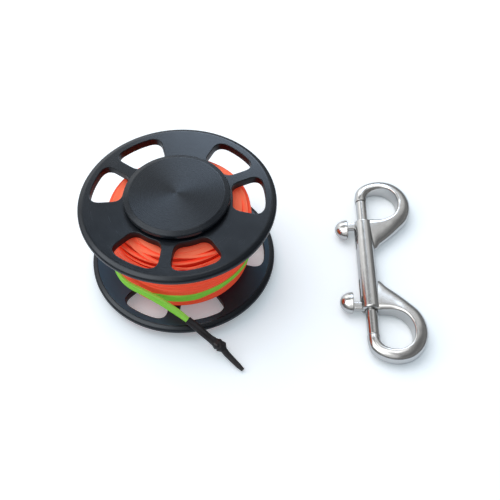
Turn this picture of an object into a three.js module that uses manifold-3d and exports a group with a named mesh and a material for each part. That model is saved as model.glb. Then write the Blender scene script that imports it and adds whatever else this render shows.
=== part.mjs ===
/**
 * A diver's finger spool and its double-ended bolt snap, in millimetres, with +Z up.
 *
 * The spool stands on its lower grip disc, and the origin is the middle of that disc's outer face.
 * A thumb and a finger pinch the two grip discs, which a spindle joins. The flanges, the hub and the
 * line turn round the spindle on two ball bearings. The snap lies beside the spool, with its barrel
 * along Y, its eyes on the +X side and its thumb knobs on the -X side.
 */
import * as THREE from 'three';
import { mergeVertices } from 'three/addons/utils/BufferGeometryUtils.js';
import Module from 'manifold-3d';

const wasm = await Module();
wasm.setup();

// Clearances that the pieces share.
const fitGap = 0.15;
const seatGap = 0.2;
const softGap = 0.3;
const overrun = 1;

// Flanges and their windows.
const flangeRadius = 40;
const flangeThickness = 3.6;
const rimBevelWidth = 2;
const rimBevelDrop = 0.8;
const flangeBoreRadius = 9.3;
const windowInnerRadius = 22.3;
const windowRimWall = 4.6;
const windowOuterRadius = flangeRadius - windowRimWall;
const windowInnerCornerShare = 0.305;
const windowOuterCornerShare = 0.36;
const windowInnerCorner = windowInnerCornerShare * (windowOuterRadius - windowInnerRadius);
const windowOuterCorner = windowOuterCornerShare * (windowOuterRadius - windowInnerRadius);
const spokeWidth = 4.7;
const spokeCount = 3;
const firstSpokeDeg = 25;
const windowReachDeg = 39.3;

// Drum of line between the flanges.
const lineSpace = 32.6;
const lineRadius = 28.5;
const lineBulge = 0.7;
const lineThickness = 1.1;
const turnCount = 7.5;
const turnGap = 0.5;
const turnEdgeGap = 0.4;
const turnEndBend = 1.6;

// Hub and the screws that hold the flanges to it.
const hubRadius = 16;
const hubBoreRadius = 9.5;
const screwCircleRadius = 13.5;
const screwLength = 10;
const screwHeadRadius = 3;
const screwHeadHeight = 1.7;
const screwRadius = 1.5;
const screwSink = 0.1;
const socketRadius = 1.1;
const socketDepth = 0.9;

// Grip discs and the spindle that joins them.
const gripRadius = 21.4;
const gripThickness = 2.5;
const gripStandOff = 0.9;
const gripBevelWidth = 2.2;
const gripBevelDrop = 0.7;
const gripEdge = 0.3;
const gripFaceWall = 1.5;
const bossRadius = 5.9;
const threadRadius = 2.9;

// Ball bearings, 8 by 22 by 7.
const bearingRadius = 11;
const bearingBoreRadius = 4;
const bearingWidth = 7;
const ballRadius = 1.985;
const ballCount = 7;
const landHeight = 0.55;
const raceGap = 0.15;
const cageThickness = 1.2;
const cageRim = 0.5;
const spacerThickness = 1.4;

// Green marker line: one wrap round the drum, then the doubled tail.
const markerWidth = 4.1;
const markerThickness = 0.9;
const tailWidth = 4.4;
const tailThickness = 1.5;

// Heat-shrunk sleeve with the knot inside it.
const sleeveWidth = 3.2;
const sleeveThickness = 2.3;

// Bolt snap.
const snapLength = 95.4;
const snapReach = 22.4;
const barrelRadius = 4.2;
const barrelLength = 47;
const barrelEdge = 0.9;
const barrelWeb = 2;
const boltRadius = 2.5;
const boltGuide = 6.5;
const boltTip = 0.5;
const boreGap = 0.25;
const noseLand = 0.25;
const noseGap = 0.25;
const snapCentreX = 80.7;
const snapCentreY = -5.3;
const snapTurnDeg = -0.73;

// Thumb knobs and the springs behind the bolts.
const knobLength = 10;
const knobHeight = 7.4;
const knobDepth = 5.6;
const knobStandOff = 3.2;
const knobOffset = 1.9;
const stemLength = 3.8;
const stemHeight = 2.4;
const stemInset = 0.2;
const shankRadius = 0.9;
const shankDepth = 1.6;
const springRadius = 1.9;
const springWire = 0.6;
const springCurls = 6;

/**
 * Route of the tail's middle, from the drum to the sleeve: a limp line that swings clear of the drum,
 * crosses its own wrap and comes down to the rim of the lower flange.
 */
const tailRoute = [
    [-28.3, -10.4, 21.9], [-27.8, -13.0, 21.4], [-26.8, -16.2, 20.7], [-25.4, -19.4, 20.0],
    [-23.6, -22.2, 19.5], [-21.4, -24.5, 19.1], [-18.6, -26.4, 18.7], [-15.1, -28.1, 18.3],
    [-11.0, -30.2, 17.8], [-7.9, -31.7, 17.0], [-4.9, -33.1, 15.9], [-2.0, -34.5, 14.6],
    [1.1, -36.0, 13.0], [4.0, -37.6, 11.3],
];

/** Route of the sleeve's middle, from the end of the tail over the rim to the floor. */
const sleeveRoute = [
    [4.0, -37.6, 11.3], [7.2, -39.5, 9.6], [9.8, -41.3, 8.3], [12.0, -42.8, 7.2], [14.1, -44.1, 6.2],
    [15.7, -45.0, 5.4], [17.2, -45.8, 4.8], [18.6, -47.1, 4.0], [19.9, -48.6, 3.3], [21.6, -50.2, 2.6],
    [23.3, -51.8, 2.1], [25.0, -53.4, 1.6], [26.6, -54.9, 1.3],
];

/** Sections along the tail: place along it, share of its width, and lean from upright in degrees. */
const tailSectionShares = [
    [0, 0.8, 0], [0.25, 0.84, 2], [0.5, 0.84, 8], [0.7, 0.8, 20], [0.88, 0.68, 40], [1, 0.55, 60],
];

/** Sections along the sleeve: place along it, share of its width, and share of its thickness. */
const sleeveSectionShares = [
    [0, 0.98, 0.95], [0.2, 1.02, 1.05], [0.38, 0.95, 0.95], [0.45, 1.05, 1.1], [0.52, 1.42, 1.6],
    [0.58, 1.4, 1.55], [0.64, 0.82, 0.9], [0.75, 0.76, 0.8], [0.9, 0.68, 0.6], [1, 0.5, 0.42],
];

/** Height of the marker's wrap at each angle in degrees, in shares of the space between flanges. */
const wrapHeightShares = [
    [-113, 0.25], [-104, 0.242], [-91, 0.248], [-78, 0.251], [-62, 0.279], [-47, 0.287], [-36, 0.275],
    [-24, 0.255], [20, 0.235], [75, 0.25], [130, 0.31], [165, 0.385], [199, 0.456],
];

/**
 * Rows across one hook, from above the nose round the eye to the barrel. Each row gives the inner edge
 * and the outer edge: across in shares of the reach, along in shares of the hook's depth past the
 * barrel's end. Then come the half height in shares of the barrel's radius, and how flat the eye's
 * wall is.
 */
const hookRowShares = [
    [0.174, 0.694, -0.071, 0.789, 0.74, 0.3],
    [0.281, 0.76, 0.107, 0.93, 0.81, 0.6],
    [0.429, 0.785, 0.393, 1, 0.88, 0.85],
    [0.58, 0.74, 0.679, 0.938, 0.95, 1],
    [0.692, 0.624, 0.893, 0.756, 0.98, 1],
    [0.737, 0.467, 0.998, 0.517, 0.99, 1],
    [0.723, 0.31, 0.993, 0.252, 0.99, 1],
    [0.661, 0.178, 0.9, 0.029, 0.95, 1],
    [0.549, 0.079, 0.71, -0.17, 0.9, 1],
    [0.402, 0.029, 0.509, -0.351, 0.83, 1],
    [0.25, 0.021, 0.321, -0.504, 0.79, 1],
    [0.116, 0.021, 0.205, -0.624, 0.76, 1],
    [0, -0.02, 0, -0.65, 0.74, 1],
];

/** Where the nose's face is along a hook, and the row behind it, in shares of the hook's depth. */
const noseShare = 0.5;
const noseBackShare = 0.6;

/** Upper half of a hook's section, from the eye's wall outwards: across share and height share. */
const hookSectionShares = [[0, 0.55], [0, 0.86], [0.1, 0.98], [0.32, 1], [0.62, 0.9], [0.9, 0.5]];

// Sizes that follow from those above. Spool heights are from its middle plane.
const faceIn = lineSpace / 2;
const faceOut = faceIn + flangeThickness;
const gripIn = faceOut + gripStandOff;
const gripOut = gripIn + gripThickness;
const hubEnd = faceIn - seatGap;
const bearingMiddle = hubEnd - bearingWidth / 2;
const pitchRadius = (bearingRadius + bearingBoreRadius) / 2;
const spindleRadius = bearingBoreRadius - fitGap;
const lineWidth = (lineSpace - 2 * turnEdgeGap + turnGap) / (turnCount + 1) - turnGap;
const barrelEnd = barrelLength / 2;
const hookDepth = snapLength / 2 - barrelEnd;
const noseAlong = barrelEnd + noseShare * hookDepth;
const boltTipAlong = noseAlong - noseGap;
const boltTailAlong = barrelEnd - boltGuide;
const boltTravel = boltTipAlong - barrelEnd - boltTip;
const stemAlong = barrelEnd - stemInset - stemLength / 2;
const slotEnd = stemAlong - stemLength / 2 - boltTravel - seatGap;

/** Rounded corners of a ribbon's section: lower is squarer, and 1 is an ellipse. */
const ribbonPower = 0.6;

const finishes = {
    anodised: { color: 0x2b2f34, metalness: 0.75, roughness: 0.42 },
    line: { color: 0xfa6a4c, metalness: 0, roughness: 0.85 },
    marker: { color: 0x7cd63c, metalness: 0, roughness: 0.8 },
    sleeve: { color: 0x232124, metalness: 0, roughness: 0.55 },
    polished: { color: 0xc9ccce, metalness: 1, roughness: 0.14 },
    steel: { color: 0xa9adb2, metalness: 1, roughness: 0.3 },
    nylon: { color: 0xe4ddc8, metalness: 0, roughness: 0.6 },
};

const rad = THREE.MathUtils.degToRad;

/** Leaves out triangles that have lost their area, and turns the faces outwards. */
function closed(geometry) {
    const bare = geometry.index ? geometry : geometry.clone();
    bare.deleteAttribute('normal');
    bare.deleteAttribute('uv');
    const welded = mergeVertices(bare);
    const place = welded.attributes.position;
    const corner = [new THREE.Vector3(), new THREE.Vector3(), new THREE.Vector3()];
    const index = [];
    let volume = 0;
    for (let i = 0; i < welded.index.count; i += 3) {
        const three = [0, 1, 2].map((k) => welded.index.getX(i + k));
        if (new Set(three).size < 3) continue;
        three.forEach((vertex, k) => corner[k].fromBufferAttribute(place, vertex));
        volume += corner[0].dot(corner[1].clone().cross(corner[2]));
        index.push(...three);
    }
    if (volume < 0) index.reverse();
    welded.setIndex(index);
    return welded;
}

/** A closed geometry as a solid that can be cut and joined. */
function solid(geometry) {
    const shape = closed(geometry);
    const vertProperties = new Float32Array(shape.attributes.position.array);
    const triVerts = new Uint32Array(shape.index.array);
    return new wasm.Manifold(new wasm.Mesh({ numProp: 3, vertProperties, triVerts }));
}

/** A solid's surface as a geometry. */
function surface(shape) {
    const mesh = shape.getMesh();
    const geometry = new THREE.BufferGeometry();
    geometry.setAttribute('position', new THREE.BufferAttribute(mesh.vertProperties, 3));
    geometry.setIndex(new THREE.BufferAttribute(mesh.triVerts, 1));
    return geometry;
}

/** One geometry less several others. */
function cut(geometry, tools) {
    return surface(tools.reduce((shape, tool) => shape.subtract(solid(tool)), solid(geometry)));
}

/** Several geometries as one. */
function join(geometries) {
    return surface(geometries.map(solid).reduce((shape, next) => shape.add(next)));
}

/** A profile of radius and height turned about Z. It starts and ends on the axis, or closes. */
function turned(profile, segments) {
    const points = profile.map(([radius, height]) => new THREE.Vector2(radius, height));
    return new THREE.LatheGeometry(points, segments).rotateX(Math.PI / 2);
}

/** A ring's profile, closed on itself. */
function ringProfile(points) {
    return [...points, points[0]];
}

/** Lays what stands along Z down along Y. */
function laid(geometry) {
    return geometry.rotateX(-Math.PI / 2);
}

/** Rings of as many points each, joined one to the next, with a cap on both ends. */
function loft(rings) {
    const sides = rings[0].length;
    const points = rings.flat();
    const index = [];
    for (let i = 0; i + 1 < rings.length; i++) {
        for (let k = 0; k < sides; k++) {
            const a = i * sides + k;
            const b = i * sides + ((k + 1) % sides);
            index.push(a, b, a + sides, b, b + sides, a + sides);
        }
    }
    for (const [ring, start, turn] of [[rings[0], 0, 1], [rings.at(-1), points.length - sides, -1]]) {
        const middle = ring.reduce((sum, p) => sum.add(p), new THREE.Vector3()).divideScalar(sides);
        points.push(middle);
        for (let k = 0; k < sides; k++) {
            const edge = [start + k, start + ((k + 1) % sides)];
            index.push(points.length - 1, ...(turn > 0 ? edge.reverse() : edge));
        }
    }
    return new THREE.BufferGeometry().setFromPoints(points).setIndex(index);
}

/** The points of a flattened section with rounded sides, round a centre. */
function ribbonRing(centre, acrossAxis, outAxis, width, thickness, sides) {
    return Array.from({ length: sides }, (_, k) => {
        const angle = (2 * Math.PI * k) / sides;
        const [x, y] = [Math.cos(angle), Math.sin(angle)].map((v) => Math.sign(v) * Math.abs(v) ** ribbonPower);
        return centre.clone()
            .addScaledVector(acrossAxis, (x * width) / 2)
            .addScaledVector(outAxis, (y * thickness) / 2);
    });
}

/** The least distance between points of rings that lie more than some rings apart. */
function leastGap(rings, apart) {
    let least = Infinity;
    for (let i = 0; i < rings.length; i++) {
        for (let j = i + apart; j < rings.length; j++) {
            for (const p of rings[i]) {
                for (const q of rings[j]) least = Math.min(least, p.distanceToSquared(q));
            }
        }
    }
    return Math.sqrt(least);
}

/** Reads a table by its first column, straight from row to row. */
function between(table, at) {
    const next = Math.max(1, Math.min(table.length - 1, table.findIndex((row) => row[0] >= at)));
    const [a, b] = [table[next - 1], table[next]];
    const share = THREE.MathUtils.clamp((at - a[0]) / (b[0] - a[0]), 0, 1);
    return a.slice(1).map((value, k) => THREE.MathUtils.lerp(value, b[k + 1], share));
}

/** Unit vectors out from the axis and along the turn, at an angle round Z. */
function compass(angle) {
    return {
        out: new THREE.Vector3(Math.cos(angle), Math.sin(angle), 0),
        along: new THREE.Vector3(-Math.sin(angle), Math.cos(angle), 0),
    };
}

/** Outline of one window, beside a spoke that points along +X. side is 1 or -1. */
function windowShape(side) {
    const far = rad(windowReachDeg);
    const near = (radius) => Math.asin(spokeWidth / 2 / radius);
    const at = (radius, angle) => [radius * Math.cos(angle), side * radius * Math.sin(angle)];
    const outerIn = windowOuterRadius - windowOuterCorner;
    const innerOut = windowInnerRadius + windowInnerCorner;
    const outerTurn = windowOuterCorner / windowOuterRadius;
    const innerTurn = windowInnerCorner / windowInnerRadius;
    const outerNear = near(windowOuterRadius);
    const innerNear = near(windowInnerRadius);
    const shape = new THREE.Shape();
    shape.moveTo(...at(innerOut, near(innerOut)));
    shape.lineTo(...at(outerIn, near(outerIn)));
    shape.quadraticCurveTo(...at(windowOuterRadius, outerNear), ...at(windowOuterRadius, outerNear + outerTurn));
    shape.absarc(0, 0, windowOuterRadius, side * (outerNear + outerTurn), side * (far - outerTurn), side < 0);
    shape.quadraticCurveTo(...at(windowOuterRadius, far), ...at(outerIn, far));
    shape.lineTo(...at(innerOut, far));
    shape.quadraticCurveTo(...at(windowInnerRadius, far), ...at(windowInnerRadius, far - innerTurn));
    shape.absarc(0, 0, windowInnerRadius, side * (far - innerTurn), side * (innerNear + innerTurn), side > 0);
    shape.quadraticCurveTo(...at(windowInnerRadius, innerNear), ...at(innerOut, near(innerOut)));
    return shape;
}

const spokeAngles = Array.from({ length: spokeCount }, (_, i) => rad(firstSpokeDeg) + (2 * Math.PI * i) / spokeCount);

/** A countersunk screw's profile, grown all round for its hole, with its axis at the origin. */
function screwProfile(grow) {
    const top = faceOut - screwSink;
    const head = screwHeadRadius + grow;
    const shank = screwRadius + grow;
    return [
        [0, grow ? top + overrun : top],
        [head, grow ? top + overrun : top],
        [head, top],
        [shank, top - screwHeadHeight],
        [shank, top - screwLength - grow],
        [0, top - screwLength - grow],
    ];
}

/** Places a copy of a geometry on the screw circle. */
function onScrewCircle(geometry, angle) {
    return geometry.clone().translate(screwCircleRadius, 0, 0).rotateZ(angle);
}

/** The upper flange: a disc with bevelled faces, six windows and three countersunk holes. */
function flange() {
    const disc = turned(ringProfile([
        [flangeBoreRadius, faceIn],
        [flangeRadius - rimBevelWidth, faceIn],
        [flangeRadius, faceIn + rimBevelDrop],
        [flangeRadius, faceOut - rimBevelDrop],
        [flangeRadius - rimBevelWidth, faceOut],
        [flangeBoreRadius, faceOut],
    ]), 60);
    const tools = [];
    for (const angle of spokeAngles) {
        for (const side of [1, -1]) {
            const options = { depth: flangeThickness + 2 * overrun, bevelEnabled: false, curveSegments: 3 };
            const tool = new THREE.ExtrudeGeometry(windowShape(side), options);
            tools.push(tool.translate(0, 0, faceIn - overrun).rotateZ(angle));
        }
        tools.push(onScrewCircle(turned(screwProfile(fitGap), 12), angle));
    }
    return cut(disc, tools);
}

/** The hub tube, with a bearing seat and three screw holes in each end. */
function hub() {
    const seat = bearingRadius + fitGap;
    const shoulder = hubEnd - bearingWidth - seatGap;
    const tube = turned(ringProfile([
        [hubRadius, hubEnd],
        [seat, hubEnd],
        [seat, shoulder],
        [hubBoreRadius, shoulder],
        [hubBoreRadius, -shoulder],
        [seat, -shoulder],
        [seat, -hubEnd],
        [hubRadius, -hubEnd],
    ]), 40);
    const hole = turned(screwProfile(fitGap), 10);
    const tools = spokeAngles.flatMap((angle) => [
        onScrewCircle(hole, angle),
        onScrewCircle(hole, angle).scale(1, 1, -1),
    ]);
    return cut(tube, tools);
}

/** One countersunk screw with a hexagon socket. */
function screw(angle) {
    const bottom = faceOut - screwSink - socketDepth;
    const socket = new THREE.CylinderGeometry(socketRadius, socketRadius, socketDepth + overrun, 6);
    socket.rotateX(Math.PI / 2).translate(0, 0, bottom + (socketDepth + overrun) / 2);
    return onScrewCircle(cut(turned(screwProfile(0), 12), [socket]), angle);
}

/** The upper grip disc: a turned face with a shallow bevel, and a boss that the spindle screws into. */
function gripDisc() {
    const hole = threadRadius + fitGap;
    return turned([
        [0, gripOut],
        [gripRadius - gripBevelWidth, gripOut],
        [gripRadius - gripEdge, gripOut - gripBevelDrop],
        [gripRadius, gripOut - gripBevelDrop - gripEdge],
        [gripRadius, gripIn + gripEdge],
        [gripRadius - gripEdge, gripIn],
        [bossRadius, gripIn],
        [bossRadius, faceIn],
        [hole, faceIn],
        [hole, gripOut - gripFaceWall],
        [0, gripOut - gripFaceWall],
    ], 48);
}

/** The spindle, with a thinner threaded end for each disc. */
function spindle() {
    const end = gripOut - gripFaceWall - seatGap;
    return turned([
        [0, end],
        [threadRadius, end],
        [threadRadius, hubEnd],
        [spindleRadius, hubEnd],
        [spindleRadius, -hubEnd],
        [threadRadius, -hubEnd],
        [threadRadius, -end],
        [0, -end],
    ], 24);
}

/** The sleeve that keeps the two inner rings apart. */
function spacer() {
    const end = hubEnd - bearingWidth - seatGap;
    const outer = bearingBoreRadius + spacerThickness;
    return turned(ringProfile([
        [bearingBoreRadius, end], [outer, end], [outer, -end], [bearingBoreRadius, -end],
    ]), 24);
}

/** A bearing ring with its ball groove. outward is 1 for the outer ring and -1 for the inner one. */
function bearingRing(outward) {
    const grooveRadius = ballRadius + raceGap;
    const landAcross = grooveRadius - landHeight;
    const wide = Math.acos(landAcross / grooveRadius);
    const land = pitchRadius + outward * landAcross;
    const wall = outward > 0 ? bearingRadius : bearingBoreRadius;
    const groove = [1, 0.5, 0, -0.5, -1].map((share) => [
        pitchRadius + outward * grooveRadius * Math.cos(share * wide),
        grooveRadius * Math.sin(share * wide),
    ]);
    const half = bearingWidth / 2;
    return turned(ringProfile([[wall, half], [land, half], ...groove, [land, -half], [wall, -half]]), 20);
}

/** The cage that spaces a bearing's balls. */
function cage() {
    const pocket = (ballRadius + fitGap) / Math.cos(Math.PI / 6);
    const half = pocket + cageRim;
    const inner = pitchRadius - cageThickness / 2;
    const outer = pitchRadius + cageThickness / 2;
    const ring = turned(ringProfile([[inner, half], [outer, half], [outer, -half], [inner, -half]]), 21);
    const tools = Array.from({ length: ballCount }, (_, i) => {
        const tool = new THREE.CylinderGeometry(pocket, pocket, cageThickness + 2 * overrun, 6);
        return tool.rotateZ(Math.PI / 2).translate(pitchRadius, 0, 0).rotateZ((2 * Math.PI * i) / ballCount);
    });
    return cut(ring, tools);
}

/** One ball of a bearing. */
function ball(number) {
    const { out } = compass((2 * Math.PI * number) / ballCount);
    return new THREE.SphereGeometry(ballRadius, 8, 5).translate(...out.multiplyScalar(pitchRadius));
}

/** Outer radius of the wound line at a height from the spool's middle plane. */
function drumRadius(height) {
    return lineRadius + lineBulge * Math.cos((Math.PI * height) / lineSpace);
}

/** Rings of the outer layer of line: one flat line wound up the drum, its ends led into the core. */
function turnRings() {
    const climb = lineWidth + turnGap;
    const bottom = -faceIn + turnEdgeGap + lineWidth / 2;
    const steps = Math.round(turnCount * 24);
    const upright = new THREE.Vector3(0, 0, 1);
    const rings = [];
    const lead = (angle, height, way) => {
        const { out, along } = compass(angle);
        const start = out.clone().multiplyScalar(drumRadius(height) - lineThickness / 2).setZ(height);
        return [0.33, 0.67, 1, 2].map((share) => {
            const bend = (Math.min(share, 1) * Math.PI) / 2;
            const inward = turnEndBend * (1 - Math.cos(bend)) + Math.max(0, share - 1) * lineWidth;
            const centre = start.clone()
                .addScaledVector(out, -inward)
                .addScaledVector(along, way * turnEndBend * Math.sin(bend));
            const face = out.clone().multiplyScalar(Math.cos(bend)).addScaledVector(along, way * Math.sin(bend));
            return ribbonRing(centre, upright, face, lineWidth, lineThickness, 6);
        });
    };
    for (let i = 0; i <= steps; i++) {
        const angle = (2 * Math.PI * i) / 24;
        const height = bottom + (climb * i) / 24;
        const { out } = compass(angle);
        const centre = out.clone().multiplyScalar(drumRadius(height) - lineThickness / 2).setZ(height);
        rings.push(ribbonRing(centre, upright, out, lineWidth, lineThickness, 6));
    }
    const top = bottom + (climb * steps) / 24;
    return [...lead(0, bottom, -1).reverse(), ...rings, ...lead((2 * Math.PI * steps) / 24, top, 1)];
}

/** The inner layers of line, plain, with a notch for each end of the outer layer. */
function lineCore() {
    const end = faceIn - softGap;
    const under = lineThickness + softGap;
    const heights = [1, 0.6, 0.2, -0.2, -0.6, -1].map((share) => share * end);
    const outside = heights.map((height) => [drumRadius(height) - under, height]);
    const bore = hubRadius + softGap;
    const core = turned(ringProfile([[bore, end], ...outside, [bore, -end]]), 40);
    const depth = turnEndBend + lineWidth + softGap + lineThickness;
    const width = turnEndBend + lineThickness + 2 * softGap;
    const notches = [[0, -1], [2 * Math.PI * turnCount, 1]].map(([angle, way]) => {
        const tool = new THREE.BoxGeometry(depth + overrun, width, lineWidth + 2 * softGap);
        const outwards = lineRadius + lineBulge - (depth - overrun) / 2;
        const height = way * (faceIn - turnEdgeGap - lineWidth / 2);
        return tool.translate(outwards, (way * turnEndBend) / 2, height).rotateZ(angle);
    });
    return cut(core, notches);
}

/** Rings of the marker line's wrap round the drum. */
function wrapRings() {
    const first = wrapHeightShares[0][0];
    const last = wrapHeightShares.at(-1)[0];
    const steps = Math.round(((last - first) / 360) * 28);
    const upright = new THREE.Vector3(0, 0, 1);
    return Array.from({ length: steps + 1 }, (_, i) => {
        const degrees = THREE.MathUtils.lerp(first, last, i / steps);
        const height = -faceIn + lineSpace * between(wrapHeightShares, degrees)[0];
        const { out } = compass(rad(degrees));
        const radius = lineRadius + lineBulge + softGap + markerThickness / 2;
        const centre = out.clone().multiplyScalar(radius).setZ(height);
        return ribbonRing(centre, upright, out, markerWidth, markerThickness, 6);
    });
}

/**
 * A flattened tube along a route. section gives its width, its thickness and its lean in radians at a
 * share of the way. Its ends stand back by a gap from the route's ends.
 */
function routeTube(route, steps, gap, section) {
    const curve = new THREE.CatmullRomCurve3(route.map((point) => new THREE.Vector3(...point)));
    const back = gap / curve.getLength();
    const rings = Array.from({ length: steps + 1 }, (_, i) => {
        const share = THREE.MathUtils.lerp(back, 1 - back, i / steps);
        const { width, thickness, lean } = section(share);
        const way = curve.getTangentAt(share);
        const side = new THREE.Vector3(way.y, -way.x, 0).normalize();
        const up = new THREE.Vector3().crossVectors(side, way).normalize();
        const face = side.clone().multiplyScalar(Math.cos(lean)).addScaledVector(up, Math.sin(lean));
        const across = new THREE.Vector3().crossVectors(face, way).normalize();
        return ribbonRing(curve.getPointAt(share), across, face, width, thickness, 8);
    });
    return loft(rings);
}

/** The doubled tail of the marker line, from the drum to the sleeve. */
function markerTail() {
    return routeTube(tailRoute, 20, softGap / 2, (share) => {
        const [width, lean] = between(tailSectionShares, share);
        return { width: width * tailWidth, thickness: tailThickness, lean: rad(lean) };
    });
}

/** The sleeve on the tail's end, with the knot's bulge. */
function tailSleeve() {
    const lastLean = rad(tailSectionShares.at(-1)[2]);
    return routeTube(sleeveRoute, 24, softGap / 2, (share) => {
        const [width, thickness] = between(sleeveSectionShares, share);
        const lean = THREE.MathUtils.lerp(lastLean, Math.PI / 2, Math.min(1, 2 * share));
        return { width: width * sleeveWidth, thickness: thickness * sleeveThickness, lean };
    });
}

/** One ring of a hook's section, between its inner and outer edge. flat is 0 for round and 1 for flat. */
function hookRing(inner, outer, half, flat) {
    const upper = hookSectionShares.map(([across, height], k) => {
        const angle = (Math.PI * (k + 0.5)) / hookSectionShares.length;
        const round = [(1 - Math.cos(angle)) / 2, Math.sin(angle)];
        return [THREE.MathUtils.lerp(round[0], across, flat), THREE.MathUtils.lerp(round[1], height, flat)];
    });
    const lower = upper.map(([across, height]) => [across, -height]).reverse();
    const points = [...upper, [1, 0], ...lower];
    return points.map(([across, height]) => inner.clone().lerp(outer, across).setZ(height * half));
}

/** One hook of the snap, from its nose round the eye into the barrel. */
function hook() {
    const nose = boltRadius + noseLand;
    const backHeight = THREE.MathUtils.lerp(nose, barrelRadius, 1 / 6);
    const rows = [
        [nose, noseAlong, -nose, noseAlong, nose, 0],
        [nose, barrelEnd + noseBackShare * hookDepth, -nose, barrelEnd + noseBackShare * hookDepth, backHeight, 0],
        ...hookRowShares.map(([innerX, innerY, outerX, outerY, height, flat]) => [
            innerX * snapReach,
            barrelEnd + innerY * hookDepth,
            outerX * snapReach,
            barrelEnd + outerY * hookDepth,
            height * barrelRadius,
            flat,
        ]),
    ];
    const path = (pick) => new THREE.CatmullRomCurve3(rows.map((row) => new THREE.Vector3(...pick(row))));
    const inner = path((row) => [row[0], row[1], 0]);
    const outer = path((row) => [row[2], row[3], 0]);
    const form = path((row) => [row[4], row[5], 0]);
    const steps = 24;
    return loft(Array.from({ length: steps + 1 }, (_, i) => {
        const at = i / steps;
        const { x: half, y: flat } = form.getPoint(at);
        return hookRing(inner.getPoint(at), outer.getPoint(at), half, THREE.MathUtils.clamp(flat, 0, 1));
    }));
}

/** The snap's body: barrel and two hooks in one casting, bored and slotted for the bolts. */
function snapBody() {
    const edge = barrelEnd - barrelEdge;
    const rim = barrelRadius - barrelEdge;
    const soft = barrelEdge * (1 - Math.SQRT1_2);
    const end = [[rim, barrelEnd], [barrelRadius - soft, barrelEnd - soft], [barrelRadius, edge]];
    const mirrored = end.map(([radius, along]) => [radius, -along]).reverse();
    const barrel = laid(turned([[0, barrelEnd], ...end, ...mirrored, [0, -barrelEnd]], 28));
    const boreRadius = boltRadius + boreGap;
    const boreEnd = noseAlong - noseGap / 2;
    const profile = [[0, barrelWeb / 2], [boreRadius, barrelWeb / 2], [boreRadius, boreEnd], [0, boreEnd]];
    const bore = laid(turned(profile, 20));
    const slotLength = barrelEnd + overrun - slotEnd;
    const slot = new THREE.BoxGeometry(barrelRadius + overrun, slotLength, stemHeight + 2 * seatGap);
    slot.translate(-(barrelRadius + overrun) / 2, slotEnd + slotLength / 2, 0);
    const half = hook();
    const body = join([barrel, half, half.clone().scale(1, -1, 1)]);
    return cut(body, [bore, bore.clone().scale(1, -1, 1), slot, slot.clone().scale(1, -1, 1)]);
}

/** One sliding bolt of the snap, with the hole that its knob's shank sits in. */
function bolt() {
    const bevel = boltTip / 2;
    const rod = laid(turned([
        [0, boltTailAlong],
        [boltRadius, boltTailAlong],
        [boltRadius, boltTipAlong - bevel],
        [boltRadius - bevel, boltTipAlong],
        [0, boltTipAlong],
    ], 20));
    const hole = new THREE.CylinderGeometry(shankRadius + fitGap, shankRadius + fitGap, shankDepth + overrun, 10);
    const outwards = boltRadius - shankDepth + (shankDepth + overrun) / 2;
    hole.rotateZ(Math.PI / 2).translate(-outwards, stemAlong, 0);
    return cut(rod, [hole]);
}

/** One thumb knob: a domed pad, its stem through the slot, and the shank that sits in the bolt. */
function knob() {
    const base = barrelRadius + knobStandOff;
    const dome = turned([
        [0, knobDepth],
        ...[70, 50, 30, 12].map((deg) => [knobLength / 2 * Math.cos(rad(deg)), knobDepth * Math.sin(rad(deg))]),
        [knobLength / 2, 0],
        [0, 0],
    ], 18);
    dome.rotateZ(Math.PI / 2).rotateY(-Math.PI / 2);
    dome.scale(1, 1, knobHeight / knobLength).translate(-base, stemAlong - knobOffset, 0);
    const foot = boltRadius + fitGap;
    const stem = new THREE.BoxGeometry(base + barrelEdge - foot, stemLength, stemHeight);
    stem.translate(-(base + barrelEdge + foot) / 2, stemAlong, 0);
    const reach = shankDepth - seatGap + fitGap + barrelEdge;
    const shank = new THREE.CylinderGeometry(shankRadius, shankRadius, reach, 10);
    shank.rotateZ(Math.PI / 2).translate(-(boltRadius - shankDepth + seatGap + reach / 2), stemAlong, 0);
    return join([dome, stem, shank]);
}

/** Rings of one spring, from the barrel's web to the bolt, with straight ends. */
function springRings() {
    const start = barrelWeb / 2 + seatGap;
    const end = boltTailAlong - seatGap;
    const straight = springWire;
    const rise = (end - start - 2 * straight) / springCurls;
    const steps = springCurls * 8;
    const axis = new THREE.Vector3(0, 1, 0);
    const ringAt = (centre, way, out) => {
        const side = new THREE.Vector3().crossVectors(way, out).normalize();
        return Array.from({ length: 5 }, (_, k) => {
            const angle = (2 * Math.PI * k) / 5;
            return centre.clone()
                .addScaledVector(out, (Math.cos(angle) * springWire) / 2)
                .addScaledVector(side, (Math.sin(angle) * springWire) / 2);
        });
    };
    const rings = Array.from({ length: steps + 1 }, (_, i) => {
        const angle = (2 * Math.PI * i) / 8;
        const out = new THREE.Vector3(Math.cos(angle), 0, Math.sin(angle));
        const round = new THREE.Vector3(-Math.sin(angle), 0, Math.cos(angle));
        const way = round.multiplyScalar((2 * Math.PI * springRadius) / rise).add(axis).normalize();
        const centre = out.clone().multiplyScalar(springRadius).setY(start + straight + (rise * i) / 8);
        return ringAt(centre, way, out);
    });
    const stub = (angle, along) => {
        const out = new THREE.Vector3(Math.cos(angle), 0, Math.sin(angle));
        return ringAt(out.clone().multiplyScalar(springRadius).setY(along), axis, out);
    };
    const lastAngle = (2 * Math.PI * steps) / 8;
    return [stub(0, start), ...rings, stub(lastAngle, end)];
}

/** A named mesh with a material of its own, placed in a group. */
function piece(name, geometry, finish, group) {
    const shape = closed(geometry);
    shape.computeVertexNormals();
    const mesh = new THREE.Mesh(shape, new THREE.MeshStandardMaterial({ ...finishes[finish] }));
    mesh.name = name;
    group.add(mesh);
}

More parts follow.
